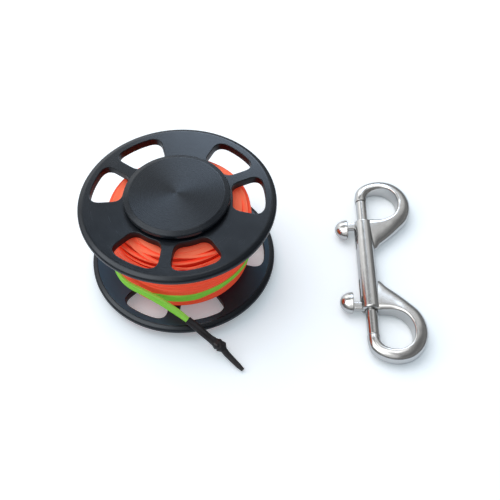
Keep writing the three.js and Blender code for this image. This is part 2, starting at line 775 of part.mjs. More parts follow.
/** Adds a piece to both ends of the spool, the lower one as the upper one's mirror image. */
function bothEnds(name, geometry, finish, group) {
    piece(`upper_${name}`, geometry, finish, group);
    piece(`lower_${name}`, geometry.clone().scale(1, 1, -1), finish, group);
}

const spool = new THREE.Group();
spool.position.z = gripOut;

bothEnds('flange', flange(), 'anodised', spool);
piece('hub_tube', hub(), 'anodised', spool);
spokeAngles.forEach((angle, i) => bothEnds(`flange_screw_${i + 1}`, screw(angle), 'steel', spool));
bothEnds('grip_disc', gripDisc(), 'anodised', spool);
piece('spindle', spindle(), 'steel', spool);
piece('spacer_sleeve', spacer(), 'steel', spool);
bothEnds('bearing_outer_ring', bearingRing(1).translate(0, 0, bearingMiddle), 'steel', spool);
bothEnds('bearing_inner_ring', bearingRing(-1).translate(0, 0, bearingMiddle), 'steel', spool);
bothEnds('bearing_cage', cage().translate(0, 0, bearingMiddle), 'nylon', spool);
for (let i = 0; i < ballCount; i++) {
    bothEnds(`bearing_ball_${i + 1}`, ball(i).translate(0, 0, bearingMiddle), 'steel', spool);
}

const turns = turnRings();
piece('line_core', lineCore(), 'line', spool);
piece('line_turns', loft(turns), 'line', spool);
piece('marker_wrap', loft(wrapRings()), 'marker', spool);

const snap = new THREE.Group();
snap.position.set(snapCentreX, snapCentreY, barrelRadius);
snap.rotation.z = rad(snapTurnDeg);

const spring = springRings();
piece('snap_body', snapBody(), 'polished', snap);
for (const [end, way] of [['far', 1], ['near', -1]]) {
    piece(`snap_bolt_${end}`, bolt().scale(1, way, 1), 'polished', snap);
    piece(`snap_knob_${end}`, knob().scale(1, way, 1), 'polished', snap);
    piece(`snap_spring_${end}`, loft(spring).scale(1, way, 1), 'steel', snap);
}

const part = new THREE.Group();
part.add(spool, snap);
piece('marker_tail', markerTail(), 'marker', part);
piece('tail_sleeve', tailSleeve(), 'sleeve', part);

console.log(`line_turns: least gap to itself ${leastGap(turns, 12).toFixed(2)} mm`);
console.log(`snap_spring: least gap to itself ${leastGap(spring, 5).toFixed(2)} mm`);

export default part;
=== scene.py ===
"""Dresses a diver's finger spool and its double-ended bolt snap.

Sizes in the classes are in millimetres. The origin is the middle of the lower grip disc's outer face,
with +Z up. Meshes are made in metres, in place, so every object stays at the origin.
"""
import logging
import math
from collections.abc import Callable, Sequence
from dataclasses import dataclass, field
from enum import Enum

import bmesh
import bpy
from mathutils import Matrix, Vector
from mathutils.geometry import delaunay_2d_cdt


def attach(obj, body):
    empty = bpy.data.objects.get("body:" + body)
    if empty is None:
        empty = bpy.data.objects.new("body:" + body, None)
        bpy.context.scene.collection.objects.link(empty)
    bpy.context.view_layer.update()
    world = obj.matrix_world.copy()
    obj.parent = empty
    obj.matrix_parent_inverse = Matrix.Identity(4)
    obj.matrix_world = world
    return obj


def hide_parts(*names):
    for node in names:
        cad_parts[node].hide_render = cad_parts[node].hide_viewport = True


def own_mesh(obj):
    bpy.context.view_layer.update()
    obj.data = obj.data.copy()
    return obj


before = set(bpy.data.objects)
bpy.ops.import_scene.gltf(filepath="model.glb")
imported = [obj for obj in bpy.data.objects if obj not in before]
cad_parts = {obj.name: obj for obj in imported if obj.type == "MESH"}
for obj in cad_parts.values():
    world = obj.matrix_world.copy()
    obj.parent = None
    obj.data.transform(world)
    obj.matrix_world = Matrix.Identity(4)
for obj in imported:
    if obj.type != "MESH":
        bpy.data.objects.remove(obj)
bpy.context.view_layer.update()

LOG = logging.getLogger("finger_spool")
MM = 0.001
HARD_CREASE = 34.0  # degrees from which an edge stays sharp: on turned metal,
CAST_CREASE = 30.0  # on castings and screws,
SOFT_CREASE = 60.0  # and on line, balls and wire
SPOOL_MIDDLE = 23.3
ENDS = (("upper", 1), ("lower", -1))
WEAVE = "weave"
Profile = list[tuple[float, float]]
Place = tuple[float, float, float]
Socket = bpy.types.NodeSocket


class Body(Enum):
    """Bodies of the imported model."""

    HANDLE = "handle"
    SPOOL = "spool"
    UPPER_CAGE = "upper_cage"
    LOWER_CAGE = "lower_cage"
    FAR_BOLT = "far_bolt"
    NEAR_BOLT = "near_bolt"


class Slot(Enum):
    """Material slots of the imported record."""

    ANODISED = "anodised"
    STEEL = "steel"
    LINE = "line"
    MARKER = "marker"
    SLEEVE = "sleeve"
    POLISHED = "polished"


class Operation(Enum):
    """What a tool does to a solid."""

    JOIN = "UNION"
    CUT = "DIFFERENCE"


def linear(code: str) -> tuple[float, float, float, float]:
    """Turns an sRGB colour into linear light.

    Args:
        code: Six hexadecimal digits.

    Returns:
        Red, green, blue and full alpha.
    """
    parts = [int(code[i : i + 2], 16) / 255 for i in (0, 2, 4)]
    red, green, blue = (p / 12.92 if p <= 0.04045 else ((p + 0.055) / 1.055) ** 2.4 for p in parts)
    return red, green, blue, 1.0


def connect(tree: bpy.types.NodeTree, node: bpy.types.Node, inputs: dict[int | str, object]) -> None:
    """Gives a node its inputs.

    Args:
        tree: The node's tree.
        node: The node.
        inputs: Sockets by name or number. A socket is linked and any other value is set.
    """
    for key, value in inputs.items():
        if isinstance(value, Socket):
            tree.links.new(value, node.inputs[key])
        else:
            node.inputs[key].default_value = value


def add_node(
    tree: bpy.types.NodeTree,
    kind: str,
    settings: dict[str, object] | None = None,
    inputs: dict[int | str, object] | None = None,
) -> bpy.types.Node:
    """Adds a node with its settings and its inputs.

    Args:
        tree: The tree that it goes in.
        kind: Its type.
        settings: Values of its own properties.
        inputs: Its inputs, as connect takes them.

    Returns:
        The node.
    """
    node = tree.nodes.new(kind)
    for name, value in (settings or {}).items():
        setattr(node, name, value)
    connect(tree, node, inputs or {})
    return node


def math_node(tree: bpy.types.NodeTree, operation: str, *values: object) -> Socket:
    """Adds one step of arithmetic.

    Args:
        tree: The tree that it goes in.
        operation: The operation's name.
        values: Its numbers or sockets.

    Returns:
        The result's socket.
    """
    return add_node(tree, "ShaderNodeMath", {"operation": operation}, dict(enumerate(values))).outputs[0]


def vector_math(tree: bpy.types.NodeTree, operation: str, inputs: dict, output: int | str = 0) -> Socket:
    """Adds one step of arithmetic with vectors."""
    return add_node(tree, "ShaderNodeVectorMath", {"operation": operation}, inputs).outputs[output]


def mix_colours(tree: bpy.types.NodeTree, share: Socket, first: object, second: object) -> Socket:
    """Mixes two colours, each a socket or linear values, by the share of the second."""
    return add_node(tree, "ShaderNodeMix", {"data_type": "RGBA"}, {0: share, 6: first, 7: second}).outputs[2]


def end_place(way: int) -> Matrix:
    """Returns what sets a thing made above height 0 at the spool's upper end (1) or its lower end (-1)."""
    return Matrix.Translation((0, 0, SPOOL_MIDDLE)) @ Matrix.Diagonal((1, 1, way, 1))


def smooth_point(rows: Sequence[Vector], share: float) -> Vector:
    """Reads a centripetal Catmull-Rom curve through rows, open at its ends.

    Args:
        rows: The points that it passes through.
        share: Place between the first and the last, from 0 to 1.

    Returns:
        The point.
    """
    last = len(rows) - 1
    at = min(max(share, 0.0), 1.0) * last
    k = min(int(at), last - 1)
    weight = at - k
    p1, p2 = rows[k], rows[k + 1]
    p0 = rows[k - 1] if k > 0 else 2 * rows[0] - rows[1]
    p3 = rows[k + 2] if k + 2 <= last else 2 * rows[last] - rows[last - 1]
    least = 1e-4  # a shorter step counts as none
    d0, d1, d2 = (math.sqrt((b - a).length) for a, b in ((p0, p1), (p1, p2), (p2, p3)))
    if d1 < least:
        d1 = 1.0
    d0 = d0 if d0 >= least else d1
    d2 = d2 if d2 >= least else d1
    t1 = ((p1 - p0) / d0 - (p2 - p0) / (d0 + d1) + (p2 - p1) / d1) * d1
    t2 = ((p2 - p1) / d1 - (p3 - p1) / (d1 + d2) + (p3 - p2) / d2) * d1
    square, cube = -3 * p1 + 3 * p2 - 2 * t1 - t2, 2 * p1 - 2 * p2 + t1 + t2
    return p1 + t1 * weight + square * weight**2 + cube * weight**3


def between(table: Sequence[tuple[float, ...]], at: float) -> list[float]:
    """Reads a table by its first column, with a soft turn at each row.

    Args:
        table: Rows of a place and its values.
        at: The place.

    Returns:
        The values there.
    """
    k = next((i for i in range(1, len(table)) if table[i][0] >= at), len(table) - 1)
    low, high = table[k - 1], table[k]
    share = min(max((at - low[0]) / (high[0] - low[0]), 0.0), 1.0)
    share = share * share * (3 - 2 * share)
    return [a + (b - a) * share for a, b in zip(low[1:], high[1:])]


def rounded(profile: Profile, radii: dict[int, float], steps: int = 5, hold: float = 0.06) -> Profile:
    """Rounds corners of an open profile, with a point beside each arc that keeps the flats flat.

    Args:
        profile: Radius and height of each corner.
        radii: Radius of the arc at each corner's number.
        steps: Segments of one arc.
        hold: How far beyond an arc the flat's own point stands.

    Returns:
        The finer profile.
    """
    result: Profile = []
    most = 0.48  # of a side that one arc may take
    for k, corner in enumerate(profile):
        radius = radii.get(k, 0.0)
        if not radius:
            result.append(corner)
            continue
        here = Vector(corner)
        before, after = Vector(profile[k - 1]) - here, Vector(profile[k + 1]) - here
        room = most * min(before.length, after.length)
        before.normalize()
        after.normalize()
        half = before.angle(after) / 2
        back = min(radius / math.tan(half), room)
        radius = back * math.tan(half)
        centre = here + (before + after).normalized() * (radius / math.sin(half))
        start, end = here + before * back - centre, here + after * back - centre
        turn = start.angle_signed(end)
        result.append(tuple(here + before * (back + hold)))
        result += [tuple(centre + Matrix.Rotation(-turn * i / steps, 2) @ start) for i in range(steps + 1)]
        result.append(tuple(here + after * (back + hold)))
    return result


@dataclass
class Shell:
    """Points in millimetres and the faces between them, with each point's place in the weave."""

    points: list[Vector] = field(default_factory=list)
    faces: list[tuple[int, ...]] = field(default_factory=list)
    weave: list[Place] = field(default_factory=list)

    def rings(self, rings: Sequence[Sequence[Vector]], loop: bool = False, caps: bool = False) -> None:
        """Joins rings of as many points each, one to the next.

        Args:
            rings: The rings, in order.
            loop: Whether the last joins the first.
            caps: Whether a fan of faces closes both ends.
        """
        first, sides = len(self.points), len(rings[0])
        self.points += [Vector(point) for ring in rings for point in ring]
        for i in range(len(rings) if loop else len(rings) - 1):
            a, b = first + i * sides, first + (i + 1) % len(rings) * sides
            for k in range(sides):
                n = (k + 1) % sides
                self.faces.append((a + k, a + n, b + n, b + k))
        if caps:
            for start in (first, first + (len(rings) - 1) * sides):
                middle = sum((self.points[start + k] for k in range(sides)), Vector((0, 0, 0))) / sides
                self.points.append(middle)
                if self.weave:
                    self.weave.append(self.weave[start])
                for k in range(sides):
                    self.faces.append((start + k, start + (k + 1) % sides, len(self.points) - 1))

    def moved(self, place: Matrix) -> "Shell":
        """Returns a copy in another place."""
        return Shell([place @ point for point in self.points], list(self.faces), list(self.weave))

    def add(self, other: "Shell") -> None:
        """Takes in another shell's points and faces."""
        first = len(self.points)
        self.points += other.points
        self.weave += other.weave
        self.faces += [tuple(first + k for k in face) for face in other.faces]

    def to_object(self, name: str, crease: float = HARD_CREASE) -> bpy.types.Object:
        """Makes a mesh object, with its seams and poles closed and its faces outwards.

        Args:
            name: The piece's name.
            crease: Angle in degrees from which an edge stays sharp.

        Returns:
            The object.
        """
        mesh = bpy.data.meshes.new(name)
        mesh.from_pydata([tuple(point * MM) for point in self.points], [], self.faces)
        if self.weave:
            layer = mesh.attributes.new(WEAVE, "FLOAT_VECTOR", "POINT")
            layer.data.foreach_set("vector", [value for row in self.weave for value in row])
        piece = bpy.data.objects.new(name, mesh)
        bpy.context.scene.collection.objects.link(piece)
        settle(piece, crease)
        return piece


def settle(piece: bpy.types.Object, crease: float, merge: float = 1e-6) -> None:
    """Merges doubles, turns faces outwards and marks the sharp edges of a piece.

    Args:
        piece: The piece.
        crease: Angle in degrees from which an edge stays sharp.
        merge: Distance in metres under which points are one.
    """
    form = bmesh.new()
    form.from_mesh(piece.data)
    bmesh.ops.remove_doubles(form, verts=form.verts, dist=merge)
    bmesh.ops.dissolve_degenerate(form, edges=form.edges, dist=merge / 2)
    bmesh.ops.recalc_face_normals(form, faces=form.faces)
    limit = math.radians(crease)
    for face in form.faces:
        face.smooth = True
    for edge in form.edges:
        edge.smooth = len(edge.link_faces) == 2 and edge.calc_face_angle() < limit
    form.to_mesh(piece.data)
    form.free()


def lathe(profile: Profile, segments: int, closed: bool = False) -> Shell:
    """Turns a profile about Z.

    Args:
        profile: Radius and height of each point.
        segments: How many steps there are round the axis.
        closed: Whether the profile joins its own start.

    Returns:
        The turned shell.
    """
    shell = Shell()
    turns = [2 * math.pi * k / segments for k in range(segments)]
    shell.rings([[Vector((r * math.cos(t), r * math.sin(t), h)) for t in turns] for r, h in profile], closed)
    return shell


def rod(radius: float, start: float, stop: float, sides: int) -> Shell:
    """Makes a plain round bar along Z between two heights."""
    return lathe([(0, start), (radius, start), (radius, stop), (0, stop)], sides)


def hump(at: float, middle: float, width: float) -> float:
    """Returns 1 at a hump's middle and less beside it, by its width."""
    return math.exp(-(((at - middle) / width) ** 2))


def remesh(piece: bpy.types.Object) -> None:
    """Turns what a piece's modifiers give into its plain mesh."""
    graph = bpy.context.evaluated_depsgraph_get()
    graph.update()
    shown = piece.evaluated_get(graph)
    made = bpy.data.meshes.new_from_object(shown, preserve_all_data_layers=True, depsgraph=graph)
    piece.modifiers.clear()
    piece.data = made
    made.name = piece.name


def combine(base: bpy.types.Object, tool: bpy.types.Object, operation: Operation) -> None:
    """Joins or cuts one solid with another, which is then removed.

    Args:
        base: The solid that stays.
        tool: The other solid.
        operation: What is done.
    """
    step = base.modifiers.new("step", "BOOLEAN")
    step.operation = operation.value
    step.solver = "EXACT"
    step.object = tool
    remesh(base)
    bpy.data.objects.remove(tool)


class Recipe:
    """A Geometry Nodes tree with named inputs, which adds what it makes to a piece's mesh."""

    def __init__(self, name: str, labels: Sequence[str]) -> None:
        """Starts the tree.

        Args:
            name: The tree's name.
            labels: Names of its number inputs.
        """
        self.tree = bpy.data.node_groups.new(name, "GeometryNodeTree")
        face = self.tree.interface
        face.new_socket("Geometry", in_out="OUTPUT", socket_type="NodeSocketGeometry")
        face.new_socket("Geometry", in_out="INPUT", socket_type="NodeSocketGeometry")
        for label in labels:
            face.new_socket(label, in_out="INPUT", socket_type="NodeSocketFloat")
        face.new_socket("Material", in_out="INPUT", socket_type="NodeSocketMaterial")
        self.given = self.tree.nodes.new("NodeGroupInput").outputs

    def node(self, kind: str, settings: dict | None = None, inputs: dict | None = None) -> bpy.types.Node:
        """Adds a node to the tree, as add_node does."""
        return add_node(self.tree, kind, settings, inputs)

    def math(self, operation: str, *values: object) -> Socket:
        """Adds one step of arithmetic to the tree."""
        return math_node(self.tree, operation, *values)

    def vector(self, x: object, y: object, z: object) -> Socket:
        """Adds a vector made of three numbers or sockets."""
        return self.node("ShaderNodeCombineXYZ", None, {0: x, 1: y, 2: z}).outputs[0]

    def circle_of(self, shape: Socket, count: object, turn: object = 0.0, tip: object = 0.0) -> None:
        """Ends the tree with a shape at each point of a circle, by the inputs Circle Radius and Height.

        Args:
            shape: The shape.
            count: How many there are.
            turn: Angle of the first about Z.
            tip: How far each is tipped over about X.
        """
        size = {"Vertices": count, "Radius": self.given["Circle Radius"]}
        ring = self.node("GeometryNodeMeshCircle", None, size).outputs[0]
        lift, turned = self.vector(0.0, 0.0, self.given["Height"]), self.vector(0.0, 0.0, turn)
        place = {"Geometry": ring, "Translation": lift, "Rotation": turned}
        points = self.node("GeometryNodeTransform", None, place).outputs[0]
        each = {"Points": points, "Instance": shape, "Rotation": self.vector(tip, 0.0, 0.0)}
        self.end(self.node("GeometryNodeInstanceOnPoints", None, each).outputs[0])

    def end(self, made: Socket) -> None:
        """Ends the tree: what is made becomes real, gets its material and joins what was there."""
        real = self.node("GeometryNodeRealizeInstances", None, {"Geometry": made}).outputs[0]
        skin = self.node("GeometryNodeSetMaterial", None, {"Geometry": real, "Material": self.given["Material"]})
        joined = self.tree.nodes.new("GeometryNodeJoinGeometry")
        for part in (skin.outputs[0], self.given["Geometry"]):
            self.tree.links.new(part, joined.inputs[0])
        out = self.tree.nodes.new("NodeGroupOutput")
        self.tree.links.new(joined.outputs[0], out.inputs[0])

    def run(
        self,
        piece: bpy.types.Object,
        skin: bpy.types.Material,
        lengths: dict[str, float],
        numbers: dict[str, float] | None = None,
    ) -> None:
        """Runs the tree on a piece and keeps the result as a plain mesh.

        Args:
            piece: The piece.
            skin: The material of what is made.
            lengths: Millimetres for the named inputs.
            numbers: What the other named inputs get.
        """
        values = {label: length * MM for label, length in lengths.items()} | (numbers or {})
        step = piece.modifiers.new(self.tree.name, "NODES")
        step.node_group = self.tree
        for item in self.tree.interface.items_tree:
            if item.in_out == "INPUT" and item.name in values:
                step[item.identifier] = float(values[item.name])
            elif item.in_out == "INPUT" and item.name == "Material":
                step[item.identifier] = skin
        remesh(piece)


def empty_piece(name: str) -> bpy.types.Object:
    """Makes an object with an empty mesh, for a recipe to fill."""
    piece = bpy.data.objects.new(name, bpy.data.meshes.new(name))
    bpy.context.scene.collection.objects.link(piece)
    return piece


def dress(piece: bpy.types.Object, body: Body, nodes: Sequence[str] = ()) -> None:
    """Sets a piece on its body and hides the CAD nodes that it stands for.

    Args:
        piece: The piece.
        body: The body that it moves with.
        nodes: The CAD nodes that it replaces.
    """
    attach(piece, body.value)
    if nodes:
        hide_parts(*nodes)
    LOG.info("%s rides on %s with %d faces", piece.name, body.value, len(piece.data.polygons))


class Surface:
    """A material under way: its shader, and the steps that the finishes are made of."""

    def __init__(self, name: str, colour: str, roughness: float, metallic: float = 0.0) -> None:
        """Makes the material and sets what is the same all over it.

        Args:
            name: The material's name.
            colour: Its colour, as six hexadecimal digits.
            roughness: Its roughness.
            metallic: 1 for bare metal.
        """
        self.material = bpy.data.materials.new(name)
        self.material.use_nodes = True
        self.tree = self.material.node_tree
        self.shader = self.tree.nodes["Principled BSDF"]
        self.colour = linear(colour)
        self.roughness = roughness
        self.set({"Base Color": self.colour, "Roughness": roughness, "Metallic": metallic})

    def set(self, inputs: dict[str, object]) -> None:
        """Links or sets inputs of the shader."""
        connect(self.tree, self.shader, inputs)

    def node(
        self, kind: str, settings: dict | None = None, inputs: dict | None = None, output: int | str = 0
    ) -> Socket:
        """Adds a node, as add_node does, and gives one of its outputs."""
        return add_node(self.tree, kind, settings, inputs).outputs[output]

    def math(self, operation: str, *values: object) -> Socket:
        """Adds one step of arithmetic."""
        return math_node(self.tree, operation, *values)

    def place(self) -> Socket:
        """Gives Object coordinates, in metres."""
        return self.node("ShaderNodeTexCoord", output="Object")

    def weave(self) -> Socket:
        """Gives the place in the weave, in metres."""
        return self.node("ShaderNodeAttribute", {"attribute_name": WEAVE}, None, "Vector")

    def stretched(self, place: Socket, factors: Place) -> Socket:
        """Scales a place by one factor for each axis."""
        return self.node("ShaderNodeVectorMath", {"operation": "MULTIPLY"}, {0: place, 1: factors})

    def millimetres(self) -> Socket:
        """Gives Object coordinates in millimetres."""
        return self.stretched(self.place(), (1 / MM, 1 / MM, 1 / MM))

    def noise(self, place: Socket, scale: float, detail: float, roughness: float = 0.5) -> Socket:
        """Adds noise in space.

        Args:
            place: Where it is read.
            scale: How fine it is, in waves for each unit of place.
            detail: How many octaves it has.
            roughness: How strong the finer octaves are.

        Returns:
            The noise, about 0.3 to 0.7.
        """
        inputs = {"Vector": place, "Scale": scale, "Detail": detail, "Roughness": roughness}
        return self.node("ShaderNodeTexNoise", None, inputs, "Fac")

    def spread(self, value: Socket, low: float, high: float, start: float = 0.3, stop: float = 0.7) -> Socket:
        """Maps a range to another, as a rule a noise's middle range.

        Args:
            value: The value.
            low: Result at the start.
            high: Result at the stop.
            start: Where the value's range starts.
            stop: Where it stops.

        Returns:
            The result's socket.
        """
        ends = {"Value": value, "From Min": start, "From Max": stop, "To Min": low, "To Max": high}
        return self.node("ShaderNodeMapRange", None, ends, "Result")

    def vary_roughness(self, noise: Socket, less: float, more: float) -> None:
        """Lets a noise take the roughness so much below and above its even value."""
        self.set({"Roughness": self.spread(noise, self.roughness - less, self.roughness + more)})

    def bump(self, height: Socket, strength: float, depth: float, base: dict[str, Socket] | None = None) -> None:
        """Bumps the surface.

        Args:
            height: The relief.
            strength: Its strength, up to 1.
            depth: Its depth in millimetres.
            base: The normal that it starts from, under its input's name.
        """
        inputs = {"Strength": strength, "Distance": depth * MM, "Height": height, **(base or {})}
        self.set({"Normal": self.node("ShaderNodeBump", None, inputs)})


@dataclass(frozen=True)
class Finish:
    """What every finish starts from."""

    name: str
    colour: str
    roughness: float
    metallic: float = 0.0

    def start(self) -> Surface:
        """Starts the finish's surface."""
        return Surface(self.name, self.colour, self.roughness, self.metallic)


@dataclass(frozen=True)
class TurnedAnodised(Finish):
    """Black anodised aluminium, turned on a lathe: satin, dark, with fine rings and a fan of light."""

    ring_pitch: float = 0.35  # coarser than a real feed of 0.1 mm, so that it shows
    ring_depth: float = 0.004
    ring_contrast: float = 0.6
    cloud_scale: float = 0.16
    cloud_contrast: float = 0.55
    cloud_share: float = 0.45
    swing: float = 0.05  # of the roughness
    anisotropy: float = 0.6
    quarter_turn: float = 0.25  # lays the fan of light across the rings
    film_index: float = 1.65  # of the hard oxide film
    film_gloss: float = 0.34
    film_tint: str = "e6eef6"  # the dye's blue sheen

    def material(self) -> bpy.types.Material:
        """Makes the material."""
        surface = self.start()
        place = surface.millimetres()
        flat = surface.stretched(place, (1, 1, 0))
        radius = surface.node("ShaderNodeVectorMath", {"operation": "LENGTH"}, {0: flat}, "Value")
        wave = surface.math("DIVIDE", radius, self.ring_pitch)
        inputs = {"W": wave, "Scale": 1.0, "Detail": 2.0, "Roughness": self.ring_contrast}
        rings = surface.node("ShaderNodeTexNoise", {"noise_dimensions": "1D"}, inputs, "Fac")
        cloud = surface.noise(place, self.cloud_scale, 4.0, self.cloud_contrast)
        both = surface.node("ShaderNodeMix", None, {0: self.cloud_share, 2: rings, 3: cloud})
        surface.vary_roughness(both, self.swing, self.swing)
        surface.bump(rings, 1.0, self.ring_depth)
        surface.set(
            {
                "Tangent": surface.node("ShaderNodeTangent", {"direction_type": "RADIAL", "axis": "Z"}),
                "IOR": self.film_index,
                "Specular IOR Level": self.film_gloss,
                "Specular Tint": linear(self.film_tint),
                "Anisotropic": self.anisotropy,
                "Anisotropic Rotation": self.quarter_turn,
            }
        )
        return surface.material


@dataclass(frozen=True)
class BraidedLine(Finish):
    """Flat braided polyester line with crossing strands; its colour paints light and shade: paler tops and crowns,
    darker low streaks, and a glow standing in for its bright dye.
    """

    strand: float = 1.3
    pick: float = 0.9
    depth: float = 0.09
    crossing_share: float = 0.3
    streaks: Place = (90.0, 1900.0, 700.0)  # for each metre along, across and through the line
    # Painted shade: the colour of the low streaks between the fibres.
    shade: str = "f05030"  # between the fibres
    # Painted highlight: the colour of the strands' crowns.
    painted_crown_highlight: str = "ff9674"  # on the strands' crowns
    # Painted light: the colour of faces that look up.
    painted_top_light: str = "ff8f6a"  # where the line faces the sky
    painted_top_light_share: float = 0.8
    painted_crown_share: float = 0.35
    # Painted glow: emission that lifts the line's shade, standing in for its fluorescent dye.
    glow: float = 0.25
    painted_glow_colour: str = "ff3f1c"
    fuzz: float = 0.06
    fuzz_spread: float = 0.4
    gloss: float = 0.2

    def material(self) -> bpy.types.Material:
        """Makes the material."""
        surface = self.start()
        place = surface.weave()
        split = add_node(surface.tree, "ShaderNodeSeparateXYZ", None, {0: place}).outputs
        along = surface.math("MULTIPLY", split[0], 2 * math.pi / (self.strand * MM))
        across = surface.math("MULTIPLY", split[1], 2 * math.pi / (self.pick * MM))
        rising = surface.math("SINE", surface.math("ADD", along, across))
        falling = surface.math("SINE", surface.math("SUBTRACT", along, across))
        crossing = surface.math("MULTIPLY", rising, falling)
        streak = surface.noise(surface.stretched(place, self.streaks), 1.0, 3.0, 0.6)
        surface.bump(surface.math("MULTIPLY_ADD", crossing, self.crossing_share, streak), 0.8, self.depth)
        # Painted light: faces that look up turn paler.
        facing = surface.node("ShaderNodeNewGeometry", output="Normal")
        upward = surface.node("ShaderNodeSeparateXYZ", None, {0: facing}, 2)
        # Painted shade: low streaks take the darker colour, which also varies the tone along the line.
        deep = mix_colours(surface.tree, surface.spread(streak, 0.0, 1.0), linear(self.shade), surface.colour)
        painted_top_light_mask = surface.spread(upward, 0.0, self.painted_top_light_share)
        faced = mix_colours(surface.tree, painted_top_light_mask, deep, linear(self.painted_top_light))
        # Painted highlight: the crowns of the crossing strands turn paler.
        painted_crown_mask = surface.spread(crossing, 0.0, self.painted_crown_share, 0.2, 1.0)
        surface.set(
            {
                "Base Color": mix_colours(surface.tree, painted_crown_mask, faced, linear(self.painted_crown_highlight)),
                # Painted glow, which lifts the line's shaded parts.
                "Emission Color": linear(self.painted_glow_colour),
                "Emission Strength": self.glow,
                "Sheen Weight": self.fuzz,
                "Sheen Roughness": self.fuzz_spread,
                "Specular IOR Level": self.gloss,
            }
        )
        return surface.material


@dataclass(frozen=True)
class HeatShrunk(Finish):
    """Black heat-shrunk polyolefin: half matt, with faint lengthwise puckers."""

    pucker: float = 0.5
    lengthwise: float = 0.25  # how much coarser the puckers are along the sleeve
    depth: float = 0.08

    def material(self) -> bpy.types.Material:
        """Makes the material."""
        surface = self.start()
        fine = 1 / (self.pucker * MM)
        factors = (self.lengthwise / (self.pucker * MM), fine, fine)
        puckers = surface.noise(surface.stretched(surface.weave(), factors), 1.0, 3.0, 0.55)
        surface.bump(puckers, 0.7, self.depth)
        surface.vary_roughness(puckers, 0.08, 0.1)
        return surface.material


@dataclass(frozen=True)
class CastSteel(Finish):
    """Cast and mirror-polished stainless steel: sharp reflections that wander a little on the cast form."""

    wave: float = 5.0
    wave_depth: float = 0.05
    haze_scale: float = 1.1
    softened_edge: float = 0.35

    def material(self) -> bpy.types.Material:
        """Makes the material."""
        surface = self.start()
        place = surface.millimetres()
        edge = surface.node("ShaderNodeBevel", {"samples": 6}, {"Radius": self.softened_edge * MM})
        surface.bump(surface.noise(place, 1 / self.wave, 1.0), 1.0, self.wave_depth, {"Normal": edge})
        surface.vary_roughness(surface.noise(place, self.haze_scale, 5.0, 0.7), 0.04, 0.05)
        return surface.material


@dataclass(frozen=True)
class GroundSteel(Finish):
    """Ground bearing steel: bright, with a fine grain that scatters the light a little."""

    grain: float = 0.2
    grain_depth: float = 0.01

    def material(self) -> bpy.types.Material:
        """Makes the material."""
        surface = self.start()
        grain = surface.noise(surface.millimetres(), 1 / self.grain, 3.0)
        surface.vary_roughness(grain, 0.07, 0.08)
        surface.bump(grain, 0.2, self.grain_depth)
        return surface.material


@dataclass(frozen=True)
class MouldedNylon(Finish):
    """Moulded natural nylon: creamy, half matt and faintly cloudy."""

    cloud: float = 1.5
    shade: str = "d2c9b0"
    milkiness: float = 0.1
    milk_depth: float = 0.5

    def material(self) -> bpy.types.Material:
        """Makes the material."""
        surface = self.start()
        cloud = surface.noise(surface.millimetres(), 1 / self.cloud, 4.0)
        surface.vary_roughness(cloud, 0.05, 0.1)
        surface.set(
            {
                "Base Color": mix_colours(surface.tree, cloud, linear(self.shade), surface.colour),
                "Subsurface Weight": self.milkiness,
                "Subsurface Scale": self.milk_depth * MM,
            }
        )
        return surface.material


class Finishes:
    """Every finish of the spool and its snap, made once."""

    def __init__(self) -> None:
        """Makes the materials."""
        self.anodised = TurnedAnodised("turned anodised aluminium", "12161b", 0.23, anisotropy=0.7).material()
        self.fanned = TurnedAnodised(
            "face-turned anodised aluminium", "12161b", 0.27, ring_depth=0.0022, anisotropy=0.92, film_gloss=0.3
        ).material()
        self.flange_inside = TurnedAnodised(
            "lathe-cut anodised aluminium",
            "141c26",
            0.4,
            ring_pitch=0.5,
            ring_depth=0.006,
            anisotropy=0.85,
            film_gloss=0.8,
            film_tint="a8d0ee",
        ).material()
        self.milled = TurnedAnodised(
            "milled anodised aluminium", "0b0c10", 0.4, ring_pitch=0.2, anisotropy=0.0, film_gloss=0.25
        ).material()
        self.line = BraidedLine("braided orange polyester line", "ff6c4a", 0.7).material()
        # Painted shade: a darker copy of the line for the core, which shows only in the gaps between the lays.
        self.painted_shade_line = BraidedLine(
            "braided orange polyester line in the gaps",
            "c8442a",
            0.8,
            shade="a8341e",
            painted_crown_highlight="d0502f",
            painted_top_light="d8583c",
            glow=0.06,
        ).material()
        # Painted light and shade on the marker too: darker low streaks, paler crowns and upward faces, and a
        # painted glow that lifts its shade.
        self.marker = BraidedLine(
            "braided green polyester line",
            "a2ee50",
            0.65,
            shade="84d63c",
            painted_crown_highlight="d2ff8c",
            painted_top_light="b8fa66",
            glow=0.1,
            painted_glow_colour="86e030",
            strand=1.1,
            pick=0.8,
        ).material()
        self.sleeve = HeatShrunk("heat-shrunk black polyolefin", "1d1b1e", 0.42).material()
        self.polished = CastSteel("polished cast stainless steel", "cfcfce", 0.19, 1.0).material()
        self.bolt = GroundSteel("ground stainless steel rod", "cdcdcc", 0.14, 1.0).material()
        self.steel = GroundSteel("ground bearing steel", "a9adb2", 0.28, 1.0).material()
        self.nylon = MouldedNylon("moulded nylon", "e8e1cd", 0.5).material()


@dataclass
class Maker:
    """What makes the pieces of one part of the object, in the finishes that it is given."""

    finishes: Finishes

    def piece(
        self,
        shell: Shell,
        name: str,
        skin: bpy.types.Material,
        body: Body,
        slot: Slot,
        node: str,
        crease: float = HARD_CREASE,
    ) -> bpy.types.Object:
        """Makes a shell a finished piece.

        Args:
            shell: The shell.
            name: The piece's name.
            skin: Its material.
            body: The body that it moves with.
            slot: The slot of its finish; not used.
            node: The CAD node that it replaces.
            crease: Angle in degrees from which an edge stays sharp.

        Returns:
            The piece.
        """
        made = shell.to_object(name, crease)
        made.data.materials.append(skin)
        dress(made, body, [node])
        return made


